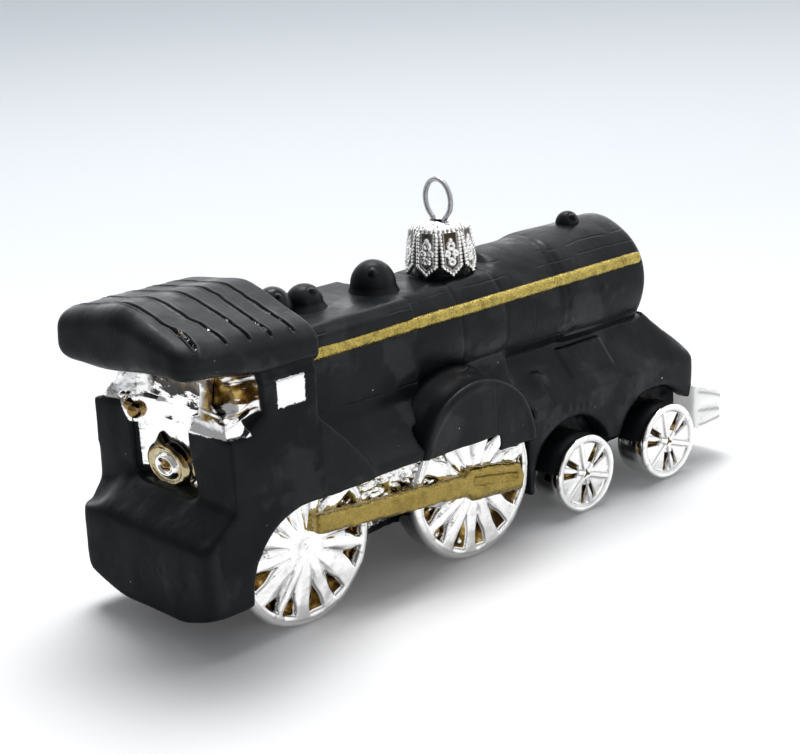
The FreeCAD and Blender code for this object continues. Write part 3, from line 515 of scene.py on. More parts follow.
FRAME_GLASS = painted_glass("frame_glass", frame_bare)
BODY_PAINT = painted_glass("black_paint", cracks=plate_cracks)
CAB_PAINT = painted_glass("black_paint_and_windows", cab_bare, cab_amber, cab_shade, shine=0.12)

# %% Sculpt by small moves
def bell(value, middle, width):
    """1 at the middle, falling softly to 0 a few widths away."""
    return exp(-((value - middle) / width) ** 2)


def dent(vert, *waves, out=0):
    """Push a point along its normal by noise, each wave a scale and a height, and by a distance."""
    push = sum(noise(vert.co * scale) * height for scale, height in waves)
    vert.co += vert.normal * (push + out)


def step(low, high, value):
    """0 at low and 1 at high, smooth between them, level beyond; low may be the larger one."""
    share = min(1, max(0, (value - low) / (high - low)))
    return share * share * (3 - 2 * share)


# %% The body's forms
CAB_JOINT, BARREL_JOINT, DECK, BLOCK_BACK = (-44.2, 0, 0), (-12, 0, 0), (0, 0, 34.2), (13.2, 0, 0)
# Each piece with its paint, the cuts that part it from the skin, and the CAD nodes that it replaces.
BODY_PIECES = (
    ("cab_shell", CAB_PAINT, [(CAB_JOINT, FORWARD)],
     ["cab_core", "cab_side_right", "cab_side_left", "cab_window_right", "cab_window_left",
      "rear_post_right", "rear_post_left", "rear_apron"]),
    ("firebox_shell", BODY_PAINT, [(CAB_JOINT, BACKWARD), (BARREL_JOINT, FORWARD)],
     ["firebox_casing", "rear_splasher_right", "rear_splasher_left"]),
    ("barrel_shell", BODY_PAINT, [(BARREL_JOINT, BACKWARD), (BLOCK_BACK, FORWARD)],
     ["boiler_barrel", "boiler_cradle", "running_board"]),
    ("smokebox_shell", BODY_PAINT, [(BLOCK_BACK, BACKWARD), (DECK, DOWNWARD)],
     ["smokebox", "smokebox_door", "headlamp"]),
    ("cylinder_shell", BODY_PAINT, [(BLOCK_BACK, BACKWARD), (DECK, UPWARD)],
     ["cylinder_block_right", "cylinder_block_left", "block_deck", "smokebox_saddle"]))
body = bmesh.new()
cad_forms(body, *[node for piece in BODY_PIECES for node in piece[3]])
# A round step under the cap, then on each side a hump, four lumps beside the cylinders and a rivet.
lathe(body, [(0, 0), (0, 7.9), (0.9, 7.3), (0.9, 0)], (CAP_X, 0, 52.7), UPWARD)
for side in (-1, 1):
    hump = [(-1, 0), (-1, 3.2), (0.5, 2.6), (1.1, 0)]
    lathe(body, hump, (19.9, side * 13.4, 28.6), (0, side, 0.55), 24)
    for number in range(4):
        block(body, (24.6 + 2 * number, 25.7 + 2 * number), (side * 15 - 2.6, side * 15 + 2.6),
              (21.6 - 0.3 * number, 23.4 - 0.3 * number), 0.3, 1)
    lathe(body, [(-1, 0), (-1, 1.2), (0.5, 0.9), (0.9, 0)], (40.8, side * 12.9, 44.6), (0, side, 0), 20)
skin = melt(body, 0.42, 4)
# Places that the mould left rounder than the rest: the cab, its foot, the step under the cap, the
# running board, the cylinders, the nose and the shoulder.
soften_part(skin, 7, x=(-99, -43))
soften_part(skin, 14, x=(-99, -60), z=(-99, 27.5))
soften_part(skin, 50, x=(9.5, 22), out=(-1, 11), z=(50.2, 99))
soften_part(skin, 8, x=(-40, 14), out=(13.5, 99), z=(-99, 33))
soften_part(skin, 5, x=(13, 99), z=(-99, 33))
soften_part(skin, 22, x=(55, 99), z=(12, 33))
soften_part(skin, 14, x=(49, 99), z=(29.5, 36.5))
print("body skin:", len(skin.faces), "faces")

# %% Sculpt the skin
for vert in skin.verts:
    at = vert.co
    x, y, z = at
    side = 1 if y > 0 else -1
    width = abs(y)
    if x < -44:
        # The bare glass between post and pillar is hollowed above and below a ridge.
        along = step(-56.6, -60.5, x)
        ridge = 44.3 + 0.33 * (x + 63)
        above = 2 * step(ridge - 0.3, ridge + 4, z) * step(13, 19, width)
        below = bell(z, ridge - 2.2, 1.1) * step(15, 19, width) * step(-64.6, -63, x)
        at.y -= side * along * (above + below)
        # The silver over the posts leans in under the roof.
        at.y -= side * 4.6 * step(42, 47, z) * step(14, 20, width) * step(-60.5, -63.5, x)
        # The left post stands wider, and the ledge drops at its foot.
        post = step(17, 20, y) * step(-61, -64, x)
        at.y += (0.9 + 0.9 * bell(z, 27, 5)) * step(21, 26, z) * step(44, 42, z) * post
        at.x -= 0.8 * step(24, 30, z) * step(44, 42, z) * step(14, 19, y) * step(-63, -66, x)
        ledge = step(12.5, 20, y) * step(-61, -65, x)
        at.z -= 2.9 * ledge * step(20, 24, z) * step(34, 28, z)
        if x < -59 and 26 < z < 43:
            # The posts lean a little, and the wall between them comes nearer on the left.
            at.y += 1.3 * bell(y, 9.5, 3) + (0.6 + 1.3 * step(28, 39, z)) * bell(y, -9.5, 2.2)
            near = step(1, 9, y) * step(12, 10, y)
            at.x -= 1.5 * near * step(-63.5, -62.2, x) * step(27, 29, z)
        # The roof's lower edge stands proud of the cab side.
        at.y -= side * 0.55 * step(49, 50.5, z) * step(18, 20, width)
        # The back wall runs out under the roof in a hollow curve.
        inside = step(11.5, 8, width) * step(44, 52, z) * step(-59, -61, x)
        at.x -= 2.2 * inside * inside
    if x > 50 and z < 34:
        # The nose bulges before it turns down.
        at.z += (1.1 * bell(x, 59.5, 3.4) - 0.6 * step(61, 64, x)) * step(20, 26, z)
        at.x += 1.3 * step(60, 63.5, x) * step(12, 15, z)
    if 28 < x < 42.4 and 26.9 < z < 34 and width > 9:
        # A cover plate on the slope beside the smokebox.
        cover = step(28.4, 29, x) * step(42, 41.4, x) * step(27.6, 28.2, z) * step(33.6, 33, z)
        at.y += side * 0.28 * cover
        at.z += 0.28 * cover
    scale, height, out = (0.1, 0.3, -0.12) if x < -44 else (0.12, 0.3, -0.1)
    if -44 < x < 60 and z > 36:
        # The mould's faint hoops round the boiler, and its dents.
        scale, height, out = 0.09, 0.35, -0.12
        out += 0.22 * bell(x, 29.4, 0.7) - 0.16 * bell(x, 12.6, 0.4) - 0.14 * bell(x, 0.6, 0.35)
    at += vert.normal * (noise(Vector((x, y, z)) * scale) * height + out)


# The foot of the left post runs out softly.
corner = [v for v in skin.verts if v.co.x < -64.5 and 12 < v.co.z < 31 and v.co.y > 12]
soften(skin, corner, 24)

# %% Cut the skin into pieces
def part_of(whole, *cuts):
    """The part of a skin on one side of each cut; a cut is a point and the side that is removed."""
    piece = whole.copy()
    for point, away in cuts:
        geometry = piece.verts[:] + piece.edges[:] + piece.faces[:]
        ops.bisect_plane(piece, geom=geometry, dist=0.0001, plane_co=point, plane_no=away,
                         clear_outer=True)
        border = [e for e in piece.edges if e.is_boundary]
        ops.holes_fill(piece, edges=border, sides=0)
    return piece


for name, paint, cuts, stands_for in BODY_PIECES:
    finish_piece(part_of(skin, *cuts), name, paint, stands_for, sharp=60)
skin.free()

# %% [markdown]
# The roof is a thick soft pillow with a ridge. Five grooves run across it. They are sculpted into
# a fine skin, and marked on it, because the paint is glossy in them and painted highlights of bare
# silver glint at their near ends.

# %% Roof
ROOF_BACK, ROOF_LENGTH, ROOF_HALF, ROOF_LOW, ROOF_HIGH = -74, 31, 21.5, 52, 64
GROOVE_HALF = 20.5
# Where each groove meets the side and the ridge.
GROOVES = [(-69.2, -69.4), (-62.6, -64.3), (-57.5, -58), (-52.7, -52.9), (-47.7, -48.4)]


def roof_top(x, y):
    """The roof's upper side: a soft ridge, and eaves that fall to the front on the right."""
    along = (x - ROOF_BACK) / ROOF_LENGTH
    ridge = ROOF_HIGH - 1.1 * along
    eave = 59.4 - 3.4 * along if y < 0 else 59.4
    return ridge - (ridge - eave) * (sqrt((y / ROOF_HALF) ** 2 + 0.014) - 0.118)


def roof_underside(x, y):
    """The sides hang lower towards the front, and the left side hangs low all along."""
    near = step(-68, -54, x) * step(17.5, 20.3, abs(y))
    far = max(step(17.5, 20.3, y), step(-14, 12, y) * step(-62, -67, x))
    return 52.4 - 2.5 * max(near, far)


def groove_place(number, y):
    """Where a groove crosses the roof at a distance from the middle."""
    end, ridge = GROOVES[number]
    wander = noise(Vector((0, y * 0.35, number * 7))) * 0.35
    return ridge + (end - ridge) * abs(y) / GROOVE_HALF + wander


pillow = bmesh.new()
block(pillow, (-73.95, -38), (-21.45, 21.45), (ROOF_LOW, ROOF_HIGH), 4.4, 8)
pillow_cut = part_of(pillow, ((-43.1, 0, 0), FORWARD))
pillow.free()
roof_skin = melt(pillow_cut, 0.4, 5)
for vert in roof_skin.verts:
    x, y, z = vert.co
    low = roof_underside(x, y)
    vert.co.z = low + (roof_top(x, y) - low) * (z - ROOF_LOW) / (ROOF_HIGH - ROOF_LOW)
roof_skin.normal_update()
near_groove = set()
for face in roof_skin.faces:
    middle = face.calc_center_median()
    if face.normal.z > 0.3:
        off = [abs(middle.x - groove_place(groove, middle.y)) for groove in range(len(GROOVES))]
        blob = abs(middle.x + 69.1) < 1.8 and -21 < middle.y < -13
        if min(off) < 1.1 or blob:
            near_groove.update(face.edges)
ops.subdivide_edges(roof_skin, edges=list(near_groove), cuts=3, use_grid_fill=True)
print("roof skin:", len(roof_skin.faces), "faces")

# %% Grooves of the roof
(recess,) = marks(roof_skin, "recess")
roof_skin.normal_update()
for vert in roof_skin.verts:
    at = vert.co
    x, y, z = at
    if vert.normal.z > 0.25:
        reach = abs(y) / GROOVE_HALF
        length = step(0.99, 0.93, reach)
        for groove in range(len(GROOVES)):
            off = abs(x - groove_place(groove, y))
            if off < 1.6:
                deep = bell(off, 0, 0.24) * length
                at.z -= 0.6 * deep * (0.55 + 0.45 * step(0.3, 0.8, reach))
                at.z += 0.13 * bell(off, 0.58, 0.24) * length
                vert[recess] = max(vert[recess], bell(off, 0, 0.42) * length * step(0.2, 0.75, reach))
        # Paint has gathered in an eye-shaped drop at the near end of the rearmost groove.
        drop = hypot((x + 69.05 - 0.17 * (y + 17.2)) / 0.8, (y + 17.2) / 3.3)
        if drop < 2.5:
            at.z += 0.3 * bell(drop, 1.05, 0.3) - 0.45 * bell(drop, 0, 0.6)
            vert[recess] = max(vert[recess], bell(drop, 0.5, 0.6))
    at += vert.normal * (noise(Vector((x, y, z)) * 0.12) * 0.3 - 0.14)
    at.x = max(at.x, -73.97)


def roof_glints(finish):
    """Painted highlights: bright glints of bare silver along the near ends of the grooves."""
    return finish.mark("recess").rise(0.45, 0.8) * finish.cloud(0.9, 3, 0.7).rise(0.56, 0.62)


ROOF_PAINT = painted_glass("black_roof_paint", roof_glints, glossy=True)
finish_piece(roof_skin, "roof_shell", ROOF_PAINT, ("cab_roof",))

# %% [markdown]
# Four domes stand on the boiler. Each is a soft bump whose tip has a pinhole with a glossy rim,
# where the glass drew thin in the mould.

# %% Domes
# The radius of each pinhole, and where it lies off the middle as shares of the dome's radius.
DOMES = {"steam_dome": (0.7, (-0.45, -0.55)), "sand_dome": (0.65, (0.05, -0.6)),
         "valve_dome": (0.55, (-0.1, -0.6)), "bell_dome": (0.7, (-0.1, -0.85))}
for name, (hole, lean) in DOMES.items():
    low, high = box_of(name)
    middle = ((low.x + high.x) / 2, 0, 0)
    radius, top = (high.x - low.x) / 2, high.z
    base = low.z - 1.2
    foot, root = 1.6, 0.5
    if name == "steam_dome":
        radius, foot, root = radius - 0.75, 1.2, 0.3
    outline = [(base, 0), (base, radius + foot), (low.z + 0.2, radius + root),
               (low.z + 1.2, radius - 0.1)]
    if name == "valve_dome":
        radius, top = radius + 0.5, top + 0.8
    if name == "bell_dome":
        # The smallest dome is a ball on a short neck.
        radius, top = 2.7, 59
        outline = [(base, 0), (base, 3.6), (55.2, 3.2), (55.6, 2.5)]
    rounds = 14  # rings of points from the waist to the top
    waist = top - radius if name == "bell_dome" else low.z + 1.2
    for number in range(1, rounds + 1):
        turn = pi / 2 * number / rounds
        outline.append((waist + (top - waist) * sin(turn), (radius - 0.1) * cos(turn)))
    dome = bmesh.new()
    lathe(dome, outline, middle, UPWARD, 72)
    ops.subdivide_edges(dome, edges=dome.edges, cuts=1, use_grid_fill=True)
    (recess,) = marks(dome, "recess")
    tip = Vector((middle[0] + lean[0] * radius, lean[1] * radius, low.z + (top - low.z) * 0.72))
    for vert in dome.verts:
        off = (vert.co - tip).length
        vert.co += vert.normal * (0.16 * bell(off, hole * 1.5, 0.3) - 0.9 * bell(off, 0, hole))
        vert[recess] = 0.44 * bell(off, hole * 1.2, 0.5)
    finish_piece(dome, name + "_bump", ROOF_PAINT, (name,))


# %% [markdown]
# A splasher is a half disc with a rolled rim. Its band sinks a little between the rim and the
# boiler, and its front corner hangs lower than the rest.

# %% Splashers
def splasher(side, word):
    """Two cuts through one disc, joined: the half disc, and the front corner that hangs lower."""
    disc = bmesh.new()
    centre = Vector((-3.9, 0, 21.1))
    outline = [(11, 0), (11, 15.5), (13, 15.6), (14.5, 14.9), (16.5, 14.5), (18.6, 14.7), (19.6, 15.4),
               (20.4, 15.7), (21, 15.5), (21.3, 15), (21.35, 14.3), (21.15, 13.6), (21.1, 0)]
    lathe(disc, outline, centre, (0, side, 0), 120)
    halves = bmesh.new()
    for cuts in ([((0, 0, 24.1), DOWNWARD)], [((0, 0, 20.7), DOWNWARD), ((1.4, 0, 0), BACKWARD)]):
        halves.from_mesh(to_mesh(part_of(disc, *cuts), "half"))
    disc.free()
    shell = melt(halves, 0.3, 4)
    for vert in shell.verts:
        at = vert.co
        if abs(at.y) < 19:
            # The inner end of the band leans up against the boiler.
            at.z += 1.3 * step(19, 13, abs(at.y)) if at.z > 24 else 0
        dent(vert, (0.15, 0.2))
    finish_piece(shell, "splasher_shell_" + word, BODY_PAINT, ("splasher_" + word,))


for side, word in SIDES:
    splasher(side, word)

# %% [markdown]
# The gold stripe is a raised bead of paint on a handrail form along the boiler.

# %% Gold stripe
STRIPE_OUT, STRIPE_HALF, STRIPE_LOW, STRIPE_HIGH = 12.1, 0.95, 47.45, 50
for side, word in SIDES:
    stripe = bmesh.new()
    out = side * STRIPE_OUT
    block(stripe, (-44, 53.2), (out - STRIPE_HALF, out + STRIPE_HALF), (STRIPE_LOW, STRIPE_HIGH), 0.9, 4)
    long_edges = [e for e in stripe.edges if abs(e.verts[0].co.x - e.verts[1].co.x) > 50]
    ops.subdivide_edges(stripe, edges=long_edges, cuts=240, use_grid_fill=True)
    for vert in stripe.verts:
        at = vert.co
        rough = noise(at * 0.5) * 0.1 + noise(at * 1.6) * 0.05
        at.z += rough * (1 if at.z > 48.7 else -1)
        at.y += side * (rough * 0.6 - 0.0006 * at.x)
    finish_piece(stripe, "gold_stripe_" + word, GOLD_STRIPE, ("handrail_" + word,))

# %% [markdown]
# The wheels are discs blown with the body. An outline with a fine face is spun round the axle, and
# the face is then pushed in between the spokes. How deep each point lies is marked on the mesh,
# because the glass is amber at the bottom of the recesses.

# %% Driving wheels
SPOKES = 13
FRONT_AXLE, REAR_AXLE, DRIVER_RADIUS = -6.1, -49.2, 15.9
FACE_RADIUS, FACE_OUT, FACE_RINGS = 14.4, 20.3, 66
FLOOR = 0.03


def press(vert, side, centre, recess, shade, recess_of, *more):
    """Push a point of a wheel's face in and mark it, as a function of its radius and turn says."""
    across, above = vert.co.x - centre[0], vert.co.z - centre[2]
    turn = atan2(above, across) + pi
    push, vert[recess], vert[shade] = recess_of(hypot(across, above), turn, *more)
    vert.co.y -= side * push


def stand(wheel, rounds, name, material):
    """Soften a wheel, keep it above the floor and finish it."""
    soften(wheel, wheel.verts, rounds)
    for vert in wheel.verts:
        vert.co.z = max(vert.co.z, FLOOR)
    finish_piece(wheel, name + "_glass", material, (name,))


def driver_recess(radius, turn, wheel_seed):
    """How far the face of a driving wheel is pushed in, and its marks for recess and shade."""
    pitch = tau / SPOKES
    turn = (turn - radians(5.8)) % tau
    number = floor(turn / pitch)
    luck = cell(Vector((number * 3.1 + wheel_seed, wheel_seed * 1.7, 0)))
    lean = (cell(Vector((number * 5.3, wheel_seed, 4))) - 0.5) * 0.3
    across = (turn / pitch - number - 0.5 - lean * (radius / 14)) * pitch * radius
    inner = 8.5 + 1.9 * luck
    half = max(0, 0.5 * pitch * radius - 1.15)
    narrow = 0.18 + 0.82 * step(inner - 0.5, inner + 4, radius)
    gap = min(half * narrow - abs(across), (radius - inner) * 0.9, 13.6 - radius)
    groove = max(0, 1 - abs(across) / (half + 0.3)) * step(3.2, 6.5, radius) * step(14.2, 13.2, radius)
    deep = step(0, 0.7, gap)
    # Painted shade: dark lines round the recesses, down the middle of each valley and round the rim, and
    # grey in the valleys.
    outline = 0.8 * bell(gap, 0.05, 0.16)
    crease_shade = 0.6 * bell(across, 0.25 * radius * (luck - 0.5), 0.22) * step(4, 7, radius) * (1 - deep)
    rim = 0.4 * bell(radius, 14.35, 0.12)
    grey = 0.55 * groove * groove * luck * (1 - deep)
    return 0.5 * groove + (1.3 + 0.9 * luck) * deep, deep, max(outline, crease_shade, rim, grey)


def driving_wheel(name, side, axle):
    """A driving wheel: an outline for tread and rim, and rings of points for its face."""
    outline = [(12.2, 0), (12.2, 13.6), (12.5, 14.6), (13.3, 15.2), (14.6, 15.35), (16.2, 15.3),
               (17.4, 15.55), (18.6, 15.8), (19.4, 15.85), (20.1, 15.7), (20.6, 15.35), (20.9, 14.85),
               (20.95, 14.3)]
    outline += [(20.9 - 0.25 * bell(k / FACE_RINGS, 0.93, 0.05), 14.2 * (1 - k / FACE_RINGS))
                for k in range(1, FACE_RINGS + 1)]
    wheel = bmesh.new()
    centre = (axle, 0, DRIVER_RADIUS)
    lathe(wheel, outline, centre, (0, side, 0), SPOKES * 28)
    recess, shade = marks(wheel, "recess", "shade")
    wheel_seed = 3 + (2 if side > 0 else 0) + (5 if axle == FRONT_AXLE else 0)
    for vert in wheel.verts:
        at = vert.co
        depth = side * at.y
        if depth > FACE_OUT:
            if hypot(at.x - axle, at.z - DRIVER_RADIUS) < FACE_RADIUS:
                press(vert, side, centre, recess, shade, driver_recess, wheel_seed)
        else:
            # The tread is greyed as a painted reflection of the dark underside, most in its upper part.
            dark = max(0.3 + 0.62 * step(1.5, 13, at.z), step(14, 12.8, depth))
            vert[shade] = dark * step(20.2, 18.8, depth)
        dent(vert, (0.25, 0.15))
    stand(wheel, 2, name, MIRROR)


for side, word in SIDES:
    driving_wheel("rear_driver_" + word, side, REAR_AXLE)
    driving_wheel("front_driver_" + word, side, FRONT_AXLE)


# %% Leading wheels
LEADING_RADIUS, LEADING_FACE, LEADING_OUT, LEADING_RINGS = 8.5, 7.4, 20.2, 48


def leading_recess(radius, turn):
    """What driver_recess says, for a leading wheel: six wedges between thin spokes, with slots."""
    turn += 0.35
    pitch = tau / 6
    number = floor(turn / pitch)
    across = (turn / pitch - number - 0.5) * pitch * radius
    half = 0.5 * pitch * radius - 0.42
    gap = min(half - abs(across), radius - 1.1, 7 - radius)
    wedge = step(0, 0.5, gap)
    slot_middle = (0.22 if number % 2 else -0.28) * pitch * radius
    slot = min(0.62 - abs(across - slot_middle), radius - 2.6, 6.6 - radius)
    deep = step(0, 0.3, slot)
    star = 1 - step(0.3, 0.75, radius * (1 + 0.5 * cos(3 * turn)))
    # Painted shade: dark lines round the wedges, the slots and the rim.
    lines = max(0.55 * bell(gap, 0.1, 0.13), 0.6 * bell(slot, 0, 0.12), 0.5 * bell(radius, 7.3, 0.12))
    return 0.55 * wedge + 0.9 * deep + 0.4 * star, max(deep, star), lines


def leading_wheel(name, side):
    """A leading wheel, made as a driving wheel is, with a narrow groove round its rim."""
    low, high = box_of(name)
    centre = Vector(((low.x + high.x) / 2, 0, LEADING_RADIUS))
    outline = [(12.2, 0), (12.2, 7.3), (12.6, 8), (14, 8.3), (16.8, 8.35), (18.2, 8.25), (18.7, 7.7),
               (19.1, 7.7), (19.5, 8.2), (20, 8.4), (20.45, 8.3), (20.65, 8.05), (20.65, 7.75),
               (20.5, 7.45)]
    outline += [(20.45 + 0.2 * bell(k / LEADING_RINGS, 1, 0.2), 7.35 * (1 - k / LEADING_RINGS))
                for k in range(1, LEADING_RINGS + 1)]
    wheel = bmesh.new()
    lathe(wheel, outline, centre, (0, side, 0), 240)
    recess, shade = marks(wheel, "recess", "shade")
    for vert in wheel.verts:
        at = vert.co
        depth = side * at.y
        across, above = at.x - centre.x, at.z - centre.z
        if depth > LEADING_OUT and hypot(across, above) < LEADING_FACE:
            press(vert, side, centre, recess, shade, leading_recess)
        elif 18.5 < depth < 19.3:
            # The groove round the rim is amber in its upper front quarter.
            vert[recess] = step(-3, 0, above) * step(2, -1, across)
        elif depth < 18.5:
            # Painted reflection: the tread is grey, darker in its upper part, with a ragged border.
            ragged = 2.5 * noise(at * 0.55)
            vert[shade] = 0.22 + 0.7 * step(-4.5, -1, above + ragged)
        dent(vert, (0.3, 0.12))
    stand(wheel, 1, name, LEADING_GLASS)


def leading_bare(finish):
    """The paint of the arches has run over the upper part of each tread."""
    ragged = (finish.cloud(1.4, 3, 0.65) - 0.5) * 1.6
    face = abs(finish.y) - 19 + ragged * 0.3
    lower = 10 + ragged - finish.z
    return (face | lower).rise(-0.15, 0.15)


def recess_amber(finish):
    """Amber where a wheel is marked as deep."""
    return finish.mark("recess").rise(0.35, 0.6)


def wheel_shade(finish):
    """Painted grey reflections and shade: by the mark, and in a few streaks."""
    return finish.mark("shade") | finish.cloud(0.5, 4, 0.65).rise(0.58, 0.66) * 0.35


LEADING_GLASS = painted_glass("leading_wheel_glass", leading_bare, recess_amber, wheel_shade)
for side, word in SIDES:
    for number in (1, 2):
        leading_wheel(f"leading_wheel_{number}_{word}", side)

# %% [markdown]
# The side rod is painted antique gold. Its outline is the CAD rod's, melted so that its edges are
# soft, with a long hollow in the big end.

# %% Side rods
ROD_FACE, ROD_FURTHEST, ROD_INNER = 22.2, 23.36, 21.6
for side, word in SIDES:
    rod = bmesh.new()
    cad_forms(rod, "side_rod_" + word)
    rod_skin = melt(rod, 0.24, 26)
    slot_start, slot_end = Vector((-7.4, 17.1)), Vector((3, 15.2))
    run = slot_end - slot_start
    for vert in rod_skin.verts:
        at = vert.co
        if side * at.y > ROD_FACE:
            # A hollow runs along the big end, and the face falls off to its edges.
            here = Vector((at.x, at.z))
            share = min(1, max(0, (here - slot_start).dot(run) / run.length_squared))
            off = (here - slot_start - run * share).length
            at.y -= side * (step(1.3, 0.5, off) - 0.22 * bell(off, 1.7, 0.35))
            at.y -= side * 0.7 * ((here.y - 15 + 0.1156 * here.x) / 2.6) ** 2
        dent(vert, (0.35, 0.35), (1.1, 0.1), out=0.16)
        # The rod is one with the wheel behind it.
        if side * at.y < ROD_INNER:
            at.y -= side * 0.4
        at.y = side * min(side * at.y, ROD_FURTHEST)
    finish_piece(rod_skin, "side_rod_paint_" + word, GOLD_ROD, ("side_rod_" + word,))

# %% [markdown]
# Between the rod and the black edge the mould is crumpled: valve gear and frame show as facets of
# mirror glass. A fine slab is pushed about by two sizes of noise.

# %% Crumpled valve gear and frame
for side, word in SIDES:
    gear = bmesh.new()
    cad_forms(gear, "valve_gear_" + word)
    plate(gear, [(-58, 16), (-49, 19.5), (-30, 17), (-12, 15.5), (-2, 16.5), (6, 15),
                 (8.8, 20.4), (1.4, 21), (1, 24.6), (-44, 24.8), (-51, 24), (-56, 21)],
          side * 15, side * 20.7)
    gear_skin = melt(gear, 0.34, 3)
    recess, shade = marks(gear_skin, "recess", "shade")
    for vert in gear_skin.verts:
        at = vert.co
        large = noise(at * 0.24)
        fine = noise(at * 0.7)
        fold = noise(at * Vector((0.34, 0.34, 0.6)))
        if side * at.y > 17:
            at.y += side * (0.6 * large + 0.4 * fine - 1.1 * bell(fold, 0, 0.1) - 0.6)
        at.z += 0.25 * fine
        # The folds are dark, and brown over the rear wheel's top.
        vert[recess] = bell(fold, 0, 0.05) * (1 if noise(at * 0.2) > 0.1 else 0)
        vert[recess] = max(vert[recess], bell(at.x, -51.5, 2.5) * bell(at.z, 22.5, 1.6))
        # Painted shade: dark lines along other creases.
        crease_shade = noise(at * Vector((0.5, 0.5, 0.9)) + Vector((9, 0, 0)))
        vert[shade] = 0.85 * bell(crease_shade, 0, 0.05)
    finish_piece(gear_skin, "valve_gear_glass_" + word, GEAR_GLASS,
                 ("valve_gear_" + word,))

# %% Underframe
underframe = bmesh.new()
cad_forms(underframe, "underframe")
frame_skin = melt(underframe, 0.5, 4)
for vert in frame_skin.verts:
    dent(vert, (0.25, 0.5), (0.7, 0.25), out=-0.2)
finish_piece(frame_skin, "underframe_glass", FRAME_GLASS, ("underframe",))

# %% [markdown]
# Inside the cab's open back a round boss and a small knob stand out of the mirror wall.

# %% Boss and knob
boss = bmesh.new()
boss_at = Vector((-62.2, 2.6, 30.4))
lathe(boss, [(-1, 0), (-1, 4.6), (0.1, 4.5), (0.7, 4.1), (1, 3.6), (0.7, 3.1), (0.6, 2.6), (1.1, 2.2),
             (1.5, 1.8), (1.2, 1.3), (0.9, 1.1), (1.1, 0.8), (1.6, 0.4), (1.7, 0)], boss_at, BACKWARD, 96)
ops.subdivide_edges(boss, edges=boss.edges, cuts=1, use_grid_fill=True)
(recess,) = marks(boss, "recess")
for vert in boss.verts:
    off = (vert.co - boss_at).yz
    radius = off.length + 0.5 * noise(Vector((off.x, off.y, 2)) * 0.5)
    khaki = 0.45 * step(2.2, 2.7, radius)
    olive = 0.55 * step(3.5, 3.8, radius) * step(-4, 0.5, off.x + off.y)
    vert[recess] = khaki + olive if radius > 1.1 else 0.72
    vert.co.y = boss_at.y + off.x * 1.5 - 0.12 * (4.6 - off.length)
    vert.co.z += 1.7 * bell(off.x, 1.2, 0.7) * step(3.4, 4.4, radius) * (1 if off.y > 0 else 0)
finish_piece(boss, "back_wall_boss", BOSS_GLASS, ("backhead_gauge",))
knob = bmesh.new()
for radius, centre in ((1.7, (-63.4, 10.4, 39.8)), (1.3, (-63.8, 11.6, 40.8)),
                       (0.75, (-64.3, 13, 42.5))):
    ops.create_icosphere(knob, subdivisions=4, radius=radius, matrix=Matrix.Translation(centre))
(recess,) = marks(knob, "recess")
for vert in knob.verts:
    vert[recess] = 0 if vert.co.z > 42 else 0.68
finish_piece(knob, "back_wall_knob", BOSS_GLASS, ("backhead_knob",))

# %% [markdown]
# The pilot is a tongue of pale glass, hardly silvered, in front of the block: a rolled lip over a
# rounded foot, with a hollow between them. Its faint glow is painted light, and painted grey lines
# stand for its edges mirroring the dark.

# %% Pilot
pilot = bmesh.new()
cad_forms(pilot, "pilot")
pilot_skin = melt(pilot, 0.3, 26)
(shade,) = marks(pilot_skin, "shade")
ROOT, FOOT = 64, 7.2  # where it leaves the block, and how high its lower edge lies
for vert in pilot_skin.verts:
    at = vert.co
    x, y, z = at
    front = step(64.6, 66.5, x)
    at.y *= 1 - 0.02 * step(66, 72, x)
    # The plan is blunter than the CAD's, and the upper side is higher and rounder.
    length = 74 - 4.6 * max(0, abs(y) - 6) / 12.4 - ROOT
    longer = 11 - 1.5 * (abs(y) / 18.4) ** 4
    at.x = min(73.9, ROOT + (x - ROOT) * longer / length - 0.1)
    # The CAD's upper side, top, is stretched to the real one's, crest.
    top = 15.2 - 0.371 * (x - ROOT) - 1.1 * max(0, x - 71)
    crest = 18 - 0.35 * max(0, x - ROOT) ** 1.3
    at.z = FOOT + (z - 6.4) / (top - 6.4) * (crest - FOOT)
    z = at.z
    # A hollow runs round it between the rolled upper lip and the foot.
    line = FOOT + 0.52 * (crest - FOOT)
    at -= vert.normal * front * (0.6 * bell(z, line, 1.1) + 0.25 * bell(z, 8.6, 0.35))
    dent(vert, (0.3, 0.3), out=-0.1)
    # Painted shade: grey lines along the lip, the hollow and the foot on its front.
    lip = bell(z, crest - 1.7, 0.28) + 0.9 * bell(z, line - 1, 0.3) + bell(z, 8.5, 0.25)
    vert[shade] = step(64.3, 65, x) * min(0.9, lip)
soften(pilot_skin, pilot_skin.verts, 3)
finish_piece(pilot_skin, "pilot_glass", PILOT_GLASS, ("pilot",))

# %% [markdown]
# The cap is thin stamped metal: eight pointed petals hang from a bumpy crown. A petal is a fine
# grid whose pattern of beads, rings and scrolls is a height; it is bent round the neck, given the
# thickness of the sheet, and repeated.

# %% Petals of the cap
PETALS = 8
PETAL_HALF = 2.36
PETAL_LOW, PETAL_HIGH = 53.85, 62.8


def petal_height(across, height, bottom):
    """The stamped relief of a petal, in millimetres."""
    edge = min(PETAL_HALF - abs(across), (height - bottom) * 0.76)
    along = height if PETAL_HALF - abs(across) < (height - bottom) * 0.76 else across * 1.3
    beads = bell(edge, 0.42, 0.26) * (0.42 + 0.58 * cos(along * tau / 0.74))
    rib = 0.45 * bell(edge, 0.95, 0.12)
    rings = bell(hypot(across, height - 60.2), 0.62, 0.22)
    rings = max(rings, bell(hypot(across, height - 57), 0.55, 0.2))
    scroll = bell(hypot(abs(across) - 0.85, height - 58.7), 0.42, 0.2)
    drops = max(bell(hypot(abs(across) - 0.62, height - 57.9), 0, 0.24),
                bell(hypot(across, height - 61.3), 0, 0.3))
    return max(beads, rib, rings if height > 55.5 else 0, scroll, drops)


